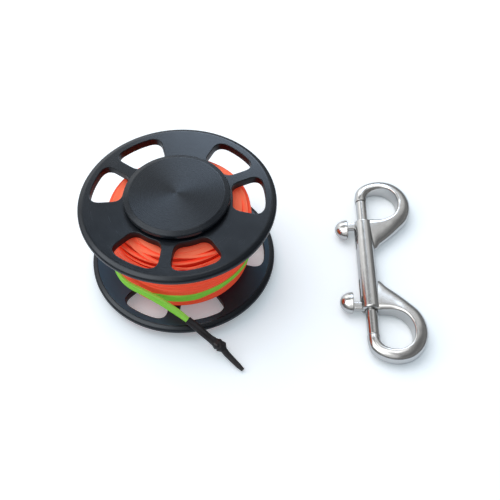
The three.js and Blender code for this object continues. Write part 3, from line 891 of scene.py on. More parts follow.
@dataclass
class PhotoCamera:
    """The camera at the photograph's viewpoint, fitted to the spool's rims."""

    place: Place = (29.4230, -184.2455, 260.3568)
    pitch: float = 0.9406630
    roll: float = 0.0040128
    focal_pixels: float = 708.618
    picture_pixels: int = 500
    sensor: float = 36.0
    framing_pixels: float = 0.5
    nearest: float = 0.01
    farthest: float = 20.0

    def build(self) -> None:
        """Makes the camera and gives it to the scene."""
        data = bpy.data.cameras.new("photo_camera")
        data.sensor_width = self.sensor
        data.lens = self.focal_pixels / self.picture_pixels * self.sensor
        data.shift_x = -self.framing_pixels / self.picture_pixels
        data.shift_y = self.framing_pixels / self.picture_pixels
        data.clip_start, data.clip_end = self.nearest, self.farthest
        camera = bpy.data.objects.new("photo_camera", data)
        ahead = Vector((0, math.cos(self.pitch), -math.sin(self.pitch)))
        right = Vector((1, 0, 0))
        up = right.cross(ahead)
        turned_right = math.cos(self.roll) * right + math.sin(self.roll) * up
        turned_up = -math.sin(self.roll) * right + math.cos(self.roll) * up
        axes = Matrix((turned_right, turned_up, -ahead)).transposed().to_4x4()
        camera.matrix_world = Matrix.Translation(Vector(self.place) * MM) @ axes
        bpy.context.scene.collection.objects.link(camera)
        bpy.context.scene.camera = camera


@dataclass
class Lamp:
    """One soft box that lights matt surfaces: its middle, its size in metres and its power in watts."""

    name: str
    place: Place
    width: float
    height: float
    watts: float
    colour: str = "ffffff"
    aim: Place = (0.04, -0.005, 0.0)

    def build(self) -> None:
        """Makes the lamp, aimed at the object."""
        data = bpy.data.lights.new(self.name, "AREA")
        data.shape = "RECTANGLE"
        data.size, data.size_y = self.width, self.height
        data.energy = self.watts
        data.color = linear(self.colour)[:3]
        lamp = bpy.data.objects.new(self.name, data)
        lamp.location = self.place
        lamp.visible_glossy = False
        ahead = Vector(self.aim) - Vector(self.place)
        lamp.rotation_euler = ahead.to_track_quat("-Z", "Y").to_euler()
        bpy.context.scene.collection.objects.link(lamp)


@dataclass(frozen=True)
class Glow:
    """A soft light of the room as gloss and metal mirror it: its place in the sky and its spread."""

    turn: float
    rise: float
    core: float
    edge: float
    level: float
    colour: str = "ffffff"

    def way(self) -> Place:
        """Gives the direction of its middle."""
        turn, rise = math.radians(self.turn), math.radians(self.rise)
        return math.cos(turn) * math.cos(rise), math.sin(turn) * math.cos(rise), math.sin(rise)


@dataclass
class Studio:
    """The plain pale floor, the soft light round the object and the room that gloss mirrors."""

    floor_colour: str = "f7f8fa"
    floor_roughness: float = 0.9
    fibre_scale: float = 900.0
    fibre_depth: float = 0.02
    floor_size: float = 6.0
    floor_lift: float = 0.42
    mirrored_lift: float = 0.3
    # Painted shade on the floor: the lift's least share near the object, and how far that reaches in millimetres.
    lift_in_painted_shade: float = 0.4
    painted_shade_reach: float = 25.0
    lift_colour: str = "f5feff"
    matt_level: float = 0.42
    matt_colour: str = "d6ebff"
    room: tuple[tuple[float, float], ...] = (
        (0.0, 0.03), (0.1, 0.08), (0.28, 0.24), (0.5, 0.24), (0.82, 0.16), (1.0, 0.45),
    )
    glows: tuple[Glow, ...] = (
        Glow(89, 37, 2, 15, 5.8, "dcecff"),
        Glow(89, 76, 3, 15, 1.8),
        Glow(190, 60, 4, 30, 2.6),
        Glow(128, 14, 6, 36, 0.8),
        Glow(98, 3, 4, 24, 0.3),
        Glow(90, 45, 5, 44, 0.12),
        Glow(64, 44, 3, 24, 0.5),
        Glow(115, 32, 3, 20, 1.0),
        Glow(166, 38, 5, 24, 1.3),
        Glow(240, 52, 5, 34, 0.65),
    )
    lamps: tuple[Lamp, ...] = (
        Lamp("overhead_softbox", (-0.30, 0.30, 0.85), 0.9, 0.9, 5.4),
        Lamp("left_softbox", (-0.95, -0.10, 0.55), 0.6, 0.5, 1.4),
    )

    def floor(self) -> None:
        """Makes the floor, a little brighter to the eye, so that it reads as white paper; the brightening fades
        where ambient occlusion finds the object near, which paints shade on the floor under and beside it.
        """
        half = self.floor_size / 2 / MM
        corners = [Vector((x * half, y * half, 0)) for x, y in ((-1, -1), (1, -1), (1, 1), (-1, 1))]
        piece = Shell(corners, [(0, 1, 2, 3)]).to_object("paper_floor")
        surface = Surface("white paper", self.floor_colour, self.floor_roughness)
        surface.bump(surface.noise(surface.place(), self.fibre_scale, 2.0), 0.1, self.fibre_depth)
        surface.set({"Specular IOR Level": 0.0})
        tree = surface.tree
        rays = add_node(tree, "ShaderNodeLightPath").outputs
        seen = surface.math("MULTIPLY_ADD", rays["Is Glossy Ray"], self.mirrored_lift, rays["Is Camera Ray"])
        # Painted shade: the lift fades by ambient occlusion, darkening the floor under and beside the object.
        reach = {"Distance": self.painted_shade_reach * MM}
        open_sky = surface.node("ShaderNodeAmbientOcclusion", {"samples": 8}, reach, "AO")
        share = surface.math("MULTIPLY_ADD", open_sky, 1 - self.lift_in_painted_shade, self.lift_in_painted_shade)
        lift = surface.math("MULTIPLY", surface.math("MULTIPLY", seen, share), self.floor_lift)
        glow = surface.node("ShaderNodeEmission", None, {"Color": linear(self.lift_colour), "Strength": lift})
        both = surface.node("ShaderNodeAddShader", None, {0: surface.shader.outputs[0], 1: glow})
        connect(tree, tree.nodes["Material Output"], {"Surface": both})
        piece.data.materials.append(surface.material)

    def world(self) -> None:
        """Makes the world: even for matt surfaces, white to the eye, and a room with lights for gloss."""
        world = bpy.data.worlds.new("studio")
        bpy.context.scene.world = world
        world.use_nodes = True
        tree = world.node_tree
        way = add_node(tree, "ShaderNodeTexCoord").outputs["Generated"]
        height = add_node(tree, "ShaderNodeSeparateXYZ", None, {0: way}).outputs[2]
        ramp = add_node(tree, "ShaderNodeValToRGB", None, {"Fac": height})
        band = ramp.color_ramp
        while len(band.elements) < len(self.room):
            band.elements.new(0.5)
        for element, (at, level) in zip(band.elements, self.room):
            element.position = at
            element.color = (level, level, level, 1)
        room = ramp.outputs[0]
        for glow in self.glows:
            ends = {
                "Value": vector_math(tree, "DOT_PRODUCT", {0: way, 1: glow.way()}, "Value"),
                "From Min": math.cos(math.radians(glow.edge)),
                "From Max": math.cos(math.radians(glow.core)),
            }
            soft = add_node(tree, "ShaderNodeMapRange", {"interpolation_type": "SMOOTHERSTEP"}, ends)
            colour = [value * glow.level for value in linear(glow.colour)[:3]]
            shine = vector_math(tree, "SCALE", {0: colour, "Scale": soft.outputs["Result"]})
            room = vector_math(tree, "ADD", {0: room, 1: shine})
        rays = add_node(tree, "ShaderNodeLightPath").outputs
        matt = [value * self.matt_level for value in linear(self.matt_colour)[:3]] + [1]
        plain = mix_colours(tree, rays["Is Glossy Ray"], matt, room)
        white = mix_colours(tree, rays["Is Camera Ray"], plain, (1, 1, 1, 1))
        connect(tree, tree.nodes["Background"], {"Color": white})

    def build(self) -> None:
        """Makes the floor, the world and the lamps."""
        self.floor()
        self.world()
        for lamp in self.lamps:
            lamp.build()
        bpy.context.scene.view_settings.view_transform = "Standard"


@dataclass
class FlangePair(Maker):
    """The two flanges: turned discs with a bevelled rim, six windows and three countersunk holes."""

    radius: float = 40.0
    face_in: float = 16.3
    face_out: float = 19.9
    bevel_width: float = 2.0
    bevel_drop: float = 0.8
    bore: float = 9.3
    window_inner: float = 22.3
    window_outer: float = 35.4
    inner_corner: float = 4.0
    outer_corner: float = 4.7
    window_reach: float = 39.3
    spoke_width: float = 4.7
    first_spoke: float = 25.0
    spokes: int = 3
    screw_circle: float = 13.5
    screw_head: float = 3.15
    screw_shank: float = 1.65
    screw_head_depth: float = 1.8
    edge: float = 0.3
    rim_edge: float = 1.2
    bevel_turn: float = 4.0
    hold: float = 0.06
    bend_steps: int = 9
    arc_steps: int = 22
    rim_sides: int = 256
    bore_sides: int = 96
    screw_sides: int = 40
    land: float = 0.6  # flat round a screw's hole, which its ring of faces takes in
    flat: float = 1.0  # the same inside the rim
    sink_edges: tuple[float, ...] = (0.12, 0.12, 0.15)  # of a screw's hole, from the face down

    def window(self, side: int, spoke: float) -> list[Vector]:
        """Draws one window beside a spoke.

        Args:
            side: 1 or -1, for the side of the spoke.
            spoke: The spoke's angle in radians.

        Returns:
            Its outline.
        """
        far = math.radians(self.window_reach)
        outer, inner = self.window_outer, self.window_inner
        below, above = outer - self.outer_corner, inner + self.inner_corner

        def near(radius: float) -> float:
            return math.asin(self.spoke_width / 2 / radius)

        def at(radius: float, angle: float) -> Vector:
            return Vector((radius * math.cos(angle), side * radius * math.sin(angle)))

        def bend(a: Vector, b: Vector, c: Vector) -> list[Vector]:
            shares = (k / self.bend_steps for k in range(self.bend_steps + 1))
            return [a * (1 - t) ** 2 + b * 2 * t * (1 - t) + c * t**2 for t in shares]

        def arc(radius: float, first: float, last: float) -> list[Vector]:
            steps = self.arc_steps
            return [at(radius, first + (last - first) * k / steps) for k in range(1, steps)]

        out_turn, in_turn = self.outer_corner / outer, self.inner_corner / inner
        near_out, near_in = near(outer), near(inner)
        points = bend(at(below, near(below)), at(outer, near_out), at(outer, near_out + out_turn))
        points += arc(outer, near_out + out_turn, far - out_turn)
        points += bend(at(outer, far - out_turn), at(outer, far), at(below, far))
        points += bend(at(above, far), at(inner, far), at(inner, far - in_turn))
        points += arc(inner, far - in_turn, near_in + in_turn)
        points += bend(at(inner, near_in + in_turn), at(inner, near_in), at(above, near(above)))
        turn = Matrix.Rotation(spoke, 2)
        return [turn @ point for point in points]

    def grown(self, outline: list[Vector], by: float) -> list[Vector]:
        """Moves a hole's outline out into the metal.

        Args:
            outline: The outline.
            by: How far.

        Returns:
            The wider outline.
        """
        count = len(outline)
        area = sum(outline[k - 1].cross(outline[k]) for k in range(count))
        way = 1 if area > 0 else -1
        result = []
        for k in range(count):
            before = (outline[k] - outline[k - 1]).normalized()
            after = (outline[(k + 1) % count] - outline[k]).normalized()
            normal = (Vector((before.y, -before.x)) + Vector((after.y, -after.x))) * way
            normal.normalize()
            scale = max(normal.dot(Vector((after.y, -after.x)) * way), 0.5)
            result.append(outline[k] + normal * (by / scale))
        return result

    def face(self, loops: list[list[Vector]], height: float) -> Shell:
        """Fills a flat face between its rim, which comes first, and its holes.

        Args:
            loops: Outlines in plan.
            height: The face's height.

        Returns:
            The face.
        """
        flat = [point for loop in loops for point in loop]
        edges, first = [], 0
        for loop in loops:
            edges += [(first + k, first + (k + 1) % len(loop)) for k in range(len(loop))]
            first += len(loop)
        points, _, triangles, _, _, _ = delaunay_2d_cdt(flat, edges, [], 0, 1e-6)

        def inside(point: Vector, loop: list[Vector]) -> bool:
            crossings = 0
            for a, b in zip(loop, loop[1:] + loop[:1]):
                if (a.y > point.y) != (b.y > point.y):
                    crossings += point.x < (b.x - a.x) * (point.y - a.y) / (b.y - a.y) + a.x
            return crossings % 2 == 1

        shell = Shell([Vector((p.x, p.y, height)) for p in points])
        for triangle in triangles:
            middle = sum((points[k] for k in triangle), Vector((0, 0))) / 3
            if inside(middle, loops[0]) and not any(inside(middle, loop) for loop in loops[1:]):
                shell.faces.append(tuple(triangle))
        return shell

    def circle(self, radius: float, sides: int, at: Vector = Vector((0, 0))) -> list[Vector]:
        """Draws a circle in plan."""
        turns = [2 * math.pi * k / sides for k in range(sides)]
        return [at + Vector((math.cos(t), math.sin(t))) * radius for t in turns]

    def shell(self) -> Shell:
        """Makes a closed flange above the spool's middle plane."""
        low, high, edge = self.face_in, self.face_out, self.edge
        bevel = self.radius - self.bevel_width
        rim = rounded(
            [
                (bevel - self.flat, high),
                (bevel, high),
                (self.radius, high - self.bevel_drop),
                (self.radius, low + self.bevel_drop),
                (bevel, low),
                (bevel - self.flat, low),
            ],
            {1: self.bevel_turn, 2: self.rim_edge, 3: self.rim_edge, 4: self.bevel_turn},
        )
        arcs = [math.pi / 2 * k / 4 for k in range(5)]
        down = [(edge + self.hold, high)] + [
            (edge * (1 - math.sin(a)), high - edge * (1 - math.cos(a))) for a in arcs
        ]
        levels = down + [(offset, low + high - height) for offset, height in reversed(down)]
        walls = [[[Vector((*p, h)) for p in self.circle(r, self.rim_sides)] for r, h in rim]]
        spokes = [math.radians(self.first_spoke + 360 / self.spokes * k) for k in range(self.spokes)]
        holes = [self.window(side, spoke) for spoke in spokes for side in (1, -1)]
        holes.append(self.circle(self.bore, self.bore_sides))
        for hole in holes:
            walls.append([[Vector((*p, h)) for p in self.grown(hole, offset)] for offset, h in levels])
        sink = rounded(
            [
                (self.screw_head + self.land, high),
                (self.screw_head, high),
                (self.screw_shank, high - self.screw_head_depth),
                (self.screw_shank, low),
                (self.screw_shank + self.land, low),
            ],
            dict(enumerate(self.sink_edges, 1)),
            3,
        )
        for spoke in spokes:
            at = Vector((math.cos(spoke), math.sin(spoke))) * self.screw_circle
            walls.append([[Vector((*p, h)) for p in self.circle(r, self.screw_sides, at)] for r, h in sink])
        shell = self.face([[p.to_2d() for p in wall[0]] for wall in walls], high)
        shell.add(self.face([[p.to_2d() for p in wall[-1]] for wall in walls], low))
        for wall in walls:
            shell.rings(wall)
        return shell

    def build(self) -> None:
        """Makes both flanges, each with its outside, its inner face and its windows' walls finished apart."""
        skins = self.finishes
        shell = self.shell()
        steep, thin = 0.6, 1e-5
        outer = (self.window_outer + 2 * self.edge) * MM
        for end, way in ENDS:
            name = f"{end}_window_flange"
            made = shell.moved(end_place(way))
            piece = self.piece(made, name, skins.anodised, Body.SPOOL, Slot.ANODISED, f"{end}_flange")
            piece.data.materials.append(skins.flange_inside)
            piece.data.materials.append(skins.milled)
            inner = (SPOOL_MIDDLE + way * self.face_in) * MM
            for face in piece.data.polygons:
                wall = abs(face.normal.z) < steep and face.center.to_2d().length < outer
                face.material_index = 2 if wall else int(abs(face.center.z - inner) < thin)


@dataclass
class GripDiscs(Maker):
    """The two solid discs that thumb and finger pinch, each with a turned face and a boss behind."""

    radius: float = 21.4
    face: float = 23.3
    back: float = 20.8
    bevel_start: float = 19.2
    bevel_end: float = 21.1
    bevel_drop: float = 0.7
    edge: float = 0.3
    boss: float = 5.9
    boss_end: float = 16.3
    hole: float = 3.05
    wall: float = 1.5
    edges: tuple[float, ...] = (1.5, 0.25, 0.25, 0.2, 0.2, 0.4, 0.2, 0.1, 0.1)  # from the face to the hole
    sides: int = 192

    def build(self) -> None:
        """Makes both discs."""
        low = self.face - self.bevel_drop
        profile = [
            (0, self.face),
            (self.bevel_start, self.face),
            (self.bevel_end, low),
            (self.radius, low - self.edge),
            (self.radius, self.back + self.edge),
            (self.radius - self.edge, self.back),
            (self.boss, self.back),
            (self.boss, self.boss_end),
            (self.hole, self.boss_end),
            (self.hole, self.face - self.wall),
            (0, self.face - self.wall),
        ]
        shell = lathe(rounded(profile, dict(enumerate(self.edges, 1))), self.sides)
        skin = self.finishes.fanned
        for end, way in ENDS:
            made = shell.moved(end_place(way))
            self.piece(made, f"{end}_grip_cap", skin, Body.HANDLE, Slot.ANODISED, f"{end}_grip_disc")


@dataclass(frozen=True)
class Lay:
    """One run of line over the pack: where it starts and ends on the pack's outline, and its turns."""

    start: float
    end: float
    turns: float
    lift: float
    lean: float
    wander: float
    seed: float
    first_angle: float = 0.0


@dataclass
class WoundLine(Maker):
    """Flat line wound on the hub: a plain core under lays of line that lap over each other."""

    drum: float = 28.35
    half_height: float = 15.45
    lower_shoulder: float = 3.0
    upper_shoulder: float = 6.5
    bulge: float = 0.6
    width: float = 3.4
    thickness: float = 0.6
    tuck: float = 0.7
    core_bore: float = 16.3
    core_depth: float = 0.45
    core_edge: float = 0.5  # how much smaller its shoulders are
    core_sides: int = 128
    turn_steps: float = 80.0
    drift_rate: float = 1.37  # waves of drift in a turn
    dive: float = 24.0  # how steeply a lay's ends go under
    roundness: float = 0.48  # of the line's edges, as a share of its thickness
    lays: tuple[Lay, ...] = (
        Lay(-25.5, 24.5, 19.0, 0.0, 12.0, 0.8, 3.0),
        Lay(13.0, -9.0, 1.9, 0.42, 3.0, 0.8, 11.0, 1.1),
        Lay(-12.5, 9.5, 1.6, 0.45, -4.0, 0.8, 17.0, 2.9),
        Lay(20.5, 4.0, 0.62, 0.5, 4.0, 0.5, 23.0, 3.75),
        Lay(18.5, 0.0, 0.5, 0.45, 6.0, 0.5, 31.0, 3.6),
        Lay(6.0, 19.0, 0.5, 0.5, 6.0, 0.5, 41.0, 4.3),
    )

    def recipe(self) -> Recipe:
        """Builds the tree that winds one lay.

        Returns:
            The recipe.
        """
        labels = ("Drum", "Half Height", "Lower Shoulder", "Upper Shoulder", "Bulge", "Middle")
        labels += ("Line Width", "Line Thickness", "Tuck")
        labels += ("Start", "End", "Turns", "Lift", "Lean", "Wander", "Seed", "First Angle")
        recipe = Recipe("winding", labels)
        given, node, step = recipe.given, recipe.node, recipe.math
        straight = node("GeometryNodeCurvePrimitiveLine", None, {"End": (1, 0, 0)}).outputs[0]
        count = step("CEIL", step("MULTIPLY", given["Turns"], self.turn_steps))
        path = node("GeometryNodeResampleCurve", None, {"Curve": straight, "Count": count}).outputs[0]
        share = node("GeometryNodeSplineParameter").outputs["Factor"]
        turn = step("MULTIPLY", share, given["Turns"])
        angle = step("MULTIPLY_ADD", turn, 2 * math.pi, given["First Angle"])
        wave = step("MULTIPLY_ADD", turn, self.drift_rate, given["Seed"])
        drifting = {"W": wave, "Scale": 1.0, "Detail": 2.0, "Roughness": 0.45}
        noise = node("ShaderNodeTexNoise", {"noise_dimensions": "1D"}, drifting).outputs["Fac"]
        drift = step("MULTIPLY", step("MULTIPLY", step("SUBTRACT", noise, 0.5), 2.0), given["Wander"])
        reach = step("MULTIPLY_ADD", share, step("SUBTRACT", given["End"], given["Start"]), given["Start"])
        outline = step("ADD", reach, drift)
        side = step("SIGN", outline)
        away = step("ABSOLUTE", outline)
        growth = step("SUBTRACT", given["Upper Shoulder"], given["Lower Shoulder"])
        shoulder = step("MULTIPLY_ADD", step("MAXIMUM", side, 0.0), growth, given["Lower Shoulder"])
        level = step("SUBTRACT", given["Half Height"], shoulder)
        past = step("SUBTRACT", away, level)
        bend = step("MINIMUM", step("MAXIMUM", step("DIVIDE", past, shoulder), 0.0), math.pi / 2)
        inwards = step("MAXIMUM", step("SUBTRACT", past, step("MULTIPLY", shoulder, math.pi / 2)), 0.0)
        rise = step("MULTIPLY", shoulder, step("SINE", bend))
        height = step("ADD", step("MINIMUM", away, level), rise)
        round_off = step("MULTIPLY", shoulder, step("SUBTRACT", 1.0, step("COSINE", bend)))
        belly = step("COSINE", step("MULTIPLY", step("DIVIDE", height, given["Half Height"]), math.pi / 2))
        radius = step("MULTIPLY_ADD", belly, given["Bulge"], given["Drum"])
        radius = step("SUBTRACT", step("SUBTRACT", radius, round_off), inwards)
        from_ends = step("MULTIPLY", step("MULTIPLY", share, step("SUBTRACT", 1.0, share)), self.dive)
        shown = step("MINIMUM", from_ends, 1.0)
        lift = step("SUBTRACT", step("MULTIPLY", shown, step("ADD", given["Lift"], given["Tuck"])), given["Tuck"])
        radius = step("MULTIPLY_ADD", step("COSINE", bend), lift, radius)
        height = step("MULTIPLY_ADD", step("SINE", bend), lift, height)
        place = recipe.vector(
            step("MULTIPLY", radius, step("COSINE", angle)),
            step("MULTIPLY", radius, step("SINE", angle)),
            step("MULTIPLY_ADD", height, side, given["Middle"]),
        )
        wound = node("GeometryNodeSetPosition", None, {"Geometry": path, "Position": place}).outputs[0]
        upright = node("GeometryNodeSetCurveNormal", {"mode": "Z_UP"}, {"Curve": wound}).outputs[0]
        tilt = step("ADD", step("MULTIPLY", bend, side), given["Lean"])
        tilted = node("GeometryNodeSetCurveTilt", None, {"Curve": upright, "Tilt": tilt}).outputs[0]
        length = node("GeometryNodeSplineParameter").outputs["Length"]
        kept = self.capture(recipe, tilted, "Along", length)
        size = {"Width": given["Line Thickness"], "Height": given["Line Width"]}
        section = node("GeometryNodeCurvePrimitiveQuadrilateral", None, size).outputs[0]
        corner = step("MULTIPLY", given["Line Thickness"], self.roundness)
        arcs = {"Curve": section, "Count": 3, "Radius": corner, "Limit Radius": True}
        fillet = node("GeometryNodeFilletCurve", {"mode": "POLY"}, arcs).outputs[0]
        spot = node("ShaderNodeSeparateXYZ", None, {0: node("GeometryNodeInputPosition").outputs[0]}).outputs[1]
        profile = self.capture(recipe, fillet, "Across", spot)
        swept = {"Curve": kept.outputs[0], "Profile Curve": profile.outputs[0], "Fill Caps": True}
        ribbon = node("GeometryNodeCurveToMesh", None, swept).outputs[0]
        weave = recipe.vector(kept.outputs[1], profile.outputs[1], turn)
        stored = node(
            "GeometryNodeStoreNamedAttribute",
            {"data_type": "FLOAT_VECTOR", "domain": "POINT"},
            {"Geometry": ribbon, "Name": WEAVE},
        )
        recipe.tree.links.new(weave, next(s for s in stored.inputs if s.name == "Value" and s.enabled))
        recipe.end(stored.outputs[0])
        return recipe

    def capture(
        self, recipe: Recipe, geometry: Socket, label: str, value: Socket
    ) -> bpy.types.Node:
        """Keeps a number of a curve's points for later in the tree.

        Args:
            recipe: The recipe.
            geometry: The curve.
            label: The number's name.
            value: The number.

        Returns:
            The node, whose outputs are the curve and the number.
        """
        kept = recipe.tree.nodes.new("GeometryNodeCaptureAttribute")
        kept.capture_items.new("FLOAT", label)
        recipe.tree.links.new(geometry, kept.inputs[0])
        recipe.tree.links.new(value, kept.inputs[label])
        return kept

    def core(self) -> Shell:
        """Makes the plain inner layers under the lays."""
        end = self.half_height - self.core_depth
        outside = self.drum - self.core_depth
        profile = [
            (self.core_bore, 0),
            (self.core_bore, end),
            (outside, end),
            (outside + self.bulge, 0),
            (outside, -end),
            (self.core_bore, -end),
        ]
        arcs = {2: self.upper_shoulder - self.core_edge, 4: self.lower_shoulder - self.core_edge}
        profile = rounded(profile, arcs, 8)
        shell = lathe([(r, h + SPOOL_MIDDLE) for r, h in profile], self.core_sides, True)
        shell.weave = [(math.atan2(p.y, p.x) * self.drum * MM, p.z * MM, 0.0) for p in shell.points]
        return shell

    def build(self) -> None:
        """Winds the line."""
        piece = self.core().to_object("wound_line")
        # The core takes the darker line, painted shade in the gaps between the lays.
        piece.data.materials.append(self.finishes.painted_shade_line)
        recipe = self.recipe()
        drum = {
            "Drum": self.drum,
            "Half Height": self.half_height,
            "Lower Shoulder": self.lower_shoulder,
            "Upper Shoulder": self.upper_shoulder,
            "Bulge": self.bulge,
            "Middle": SPOOL_MIDDLE,
            "Line Width": self.width,
            "Line Thickness": self.thickness,
            "Tuck": self.tuck,
        }
        for lay in self.lays:
            lengths = {**drum, "Start": lay.start, "End": lay.end, "Lift": lay.lift, "Wander": lay.wander}
            numbers = {
                "Turns": lay.turns,
                "Lean": math.radians(lay.lean),
                "Seed": lay.seed,
                "First Angle": lay.first_angle,
            }
            recipe.run(piece, self.finishes.line, lengths, numbers)
        settle(piece, SOFT_CREASE)
        dress(piece, Body.SPOOL, ["line_core", "line_turns"])


@dataclass
class MarkerLine(Maker):
    """The green marker line: a wrap round the drum, the doubled tail, and the sleeve on its end."""

    wrap_width: float = 4.1
    wrap_thickness: float = 0.7
    wrap_radius: float = 29.8
    tail_width: float = 4.4
    tail_thickness: float = 1.5
    sleeve_width: float = 3.2
    sleeve_thickness: float = 2.3
    line_space: float = 32.6
    section_points: int = 36
    tube_squareness: float = 0.65
    wrap_squareness: float = 0.6
    wrap_steps: int = 260
    tail_steps: int = 150
    sleeve_steps: int = 130
    groove: Place = (0.5, -0.18, 0.1)  # between the tail's two lines: its depth, its place and its width
    valley: Place = (0.3, 0.0, 0.28)  # the same where the sleeve shows them
    dent: Place = (0.25, 0.15, 0.2)  # the same along the wrap
    fold: float = 0.12
    knot: Place = (0.12, 0.55, 0.05)  # the lumps of its sides, and its place and reach along the sleeve
    knot_crease: Place = (0.08, 0.55, 0.06)
    sway: float = 0.05  # of the wrap, in radians
    wrap_course: tuple[Place, ...] = (
        (-113, 0.24, 0.55), (-104, 0.242, 0.95), (-91, 0.248, 1), (-78, 0.251, 1), (-62, 0.279, 0.85),
        (-47, 0.287, 0.7), (-36, 0.275, 0.6), (-24, 0.255, 0.55), (20, 0.235, 0.8), (75, 0.25, 1),
        (130, 0.31, 1), (165, 0.385, 0.95), (199, 0.456, 0.85),
    )
    tail_route: tuple[Place, ...] = (
        (-28.3, -10.4, 21.9), (-27.8, -13.0, 21.4), (-26.8, -16.2, 20.7), (-25.4, -19.4, 20.0),
        (-23.6, -22.2, 19.5), (-21.4, -24.5, 19.1), (-18.6, -26.4, 18.7), (-15.1, -28.1, 18.3),
        (-11.0, -30.2, 17.8), (-7.9, -31.7, 17.0), (-4.9, -33.1, 15.9), (-2.0, -34.5, 14.6),
        (1.1, -36.0, 13.0), (4.0, -37.6, 11.3),
    )
    sleeve_route: tuple[Place, ...] = (
        (4.0, -37.6, 11.3), (7.2, -39.5, 9.6), (9.8, -41.3, 8.3), (12.0, -42.8, 7.2), (14.1, -44.1, 6.2),
        (15.7, -45.0, 5.4), (17.2, -45.8, 4.8), (18.6, -47.1, 4.0), (19.9, -48.6, 3.3), (21.6, -50.2, 2.6),
        (23.3, -51.8, 2.1), (25.0, -53.4, 1.6), (26.6, -54.9, 1.3),
    )
    tail_sections: tuple[Place, ...] = (
        (0, 0.8, 0), (0.25, 0.84, 2), (0.5, 0.84, 8), (0.7, 0.8, 20), (0.88, 0.68, 40), (1, 0.55, 60),
    )
    sleeve_sections: tuple[Place, ...] = (
        (0, 0.98, 0.95), (0.2, 1.02, 1.05), (0.38, 0.95, 0.95), (0.45, 1.05, 1.1), (0.52, 1.42, 1.6),
        (0.58, 1.4, 1.55), (0.64, 0.82, 0.9), (0.75, 0.76, 0.8), (0.9, 0.68, 0.6), (1, 0.5, 0.42),
    )

    def ring(
        self,
        middle: Vector,
        across: Vector,
        face: Vector,
        width: float,
        thickness: Callable[[float], float],
        squareness: float,
    ) -> tuple[list[Vector], list[tuple[float, float]]]:
        """Makes one flattened section.

        Args:
            middle: Its middle.
            across: Direction of its width.
            face: Direction of its thickness.
            width: Its width.
            thickness: Gives the thickness at a place across, from -1 to 1.
            squareness: 1 for an ellipse, and less for squarer corners.

        Returns:
            Its points, and each point's distance across in metres with the side that it is on.
        """
        points, places = [], []
        for k in range(self.section_points):
            angle = 2 * math.pi * k / self.section_points
            x, y = (math.copysign(abs(v) ** squareness, v) for v in (math.cos(angle), math.sin(angle)))
            points.append(middle + across * (x * width / 2) + face * (y * thickness(x) / 2))
            places.append((x * width / 2 * MM, math.copysign(1, y)))
        return points, places

    def tube(
        self,
        route: Sequence[Place],
        steps: int,
        section: Callable[[float], Place],
        relief: Callable[[float, float], float],
    ) -> Shell:
        """Lays a flattened tube along a route.

        Args:
            route: The points that its middle follows.
            steps: How many rings it has along its length.
            section: Gives width, thickness and lean in radians at a share of the way.
            relief: Gives the thickness's factor at a share of the way and a place across from -1 to 1.

        Returns:
            The closed tube.
        """
        rows = [Vector(point) for point in route]
        fine_steps, ahead, layer = 400, 0.01, 0.001
        fine = [smooth_point(rows, k / fine_steps) for k in range(fine_steps + 1)]
        lengths = [0.0]
        for a, b in zip(fine, fine[1:]):
            lengths.append(lengths[-1] + (b - a).length)

        def at(share: float) -> Vector:
            goal = share * lengths[-1]
            k = next((i for i in range(1, fine_steps + 1) if lengths[i] >= goal), fine_steps)
            part = (goal - lengths[k - 1]) / max(lengths[k] - lengths[k - 1], 1e-9)
            return fine[k - 1].lerp(fine[k], min(max(part, 0.0), 1.0))

        shell, rings = Shell(), []
        for i in range(steps + 1):
            share = i / steps
            width, thickness, lean = section(share)
            way = (at(min(share + ahead, 1)) - at(max(share - ahead, 0))).normalized()
            side = Vector((way.y, -way.x, 0)).normalized()
            up = side.cross(way).normalized()
            face = side * math.cos(lean) + up * math.sin(lean)
            across = face.cross(way).normalized()

            def deep(x: float) -> float:
                return thickness * relief(share, x)

            points, places = self.ring(at(share), across, face, width, deep, self.tube_squareness)
            rings.append(points)
            shell.weave += [(share * lengths[-1] * MM, place, layer * front) for place, front in places]
        shell.rings(rings, caps=True)
        return shell

    def tail(self) -> Shell:
        """Makes the doubled tail, with the groove between its two lines."""

        def section(share: float) -> Place:
            width, lean = between(self.tail_sections, share)
            return width * self.tail_width, self.tail_thickness, math.radians(lean)

        def relief(share: float, across: float) -> float:
            depth, middle, width = self.groove
            fold = self.fold * math.sin(9 * share + 4 * across)
            return (1 - depth * hump(across, middle, width)) * (1 + fold)

        return self.tube(self.tail_route, self.tail_steps, section, relief)

    def sleeve(self) -> Shell:
        """Makes the sleeve, with the two lines showing through it and the knot's lumps."""
        last = math.radians(self.tail_sections[-1][2])

        def section(share: float) -> Place:
            width, thickness = between(self.sleeve_sections, share)
            lean = last + (math.pi / 2 - last) * min(1, 2 * share)
            size, middle, reach = self.knot
            lump = 1 + size * hump(share, middle, reach) * math.sin(90 * share)
            return width * self.sleeve_width * lump, thickness * self.sleeve_thickness, lean

        def relief(share: float, across: float) -> float:
            depth, middle, width = self.valley
            valley = depth * hump(across, middle, width) * min(1, max(0, (0.5 - share) / 0.1))
            size, middle, reach = self.knot_crease
            crease = size * hump(share, middle, reach) * math.sin(7 * across + 60 * share)
            return 1 - valley + crease

        return self.tube(self.sleeve_route, self.sleeve_steps, section, relief)

    def wrap(self) -> Shell:
        """Makes the wrap round the drum."""
        shell, rings = Shell(), []
        tucked_end = 1.5  # degrees past the last row
        first, last = self.wrap_course[0][0], self.wrap_course[-1][0] + tucked_end

        def deep(x: float) -> float:
            depth, middle, width = self.dent
            return self.wrap_thickness * (1 - depth * hump(x, middle, width))

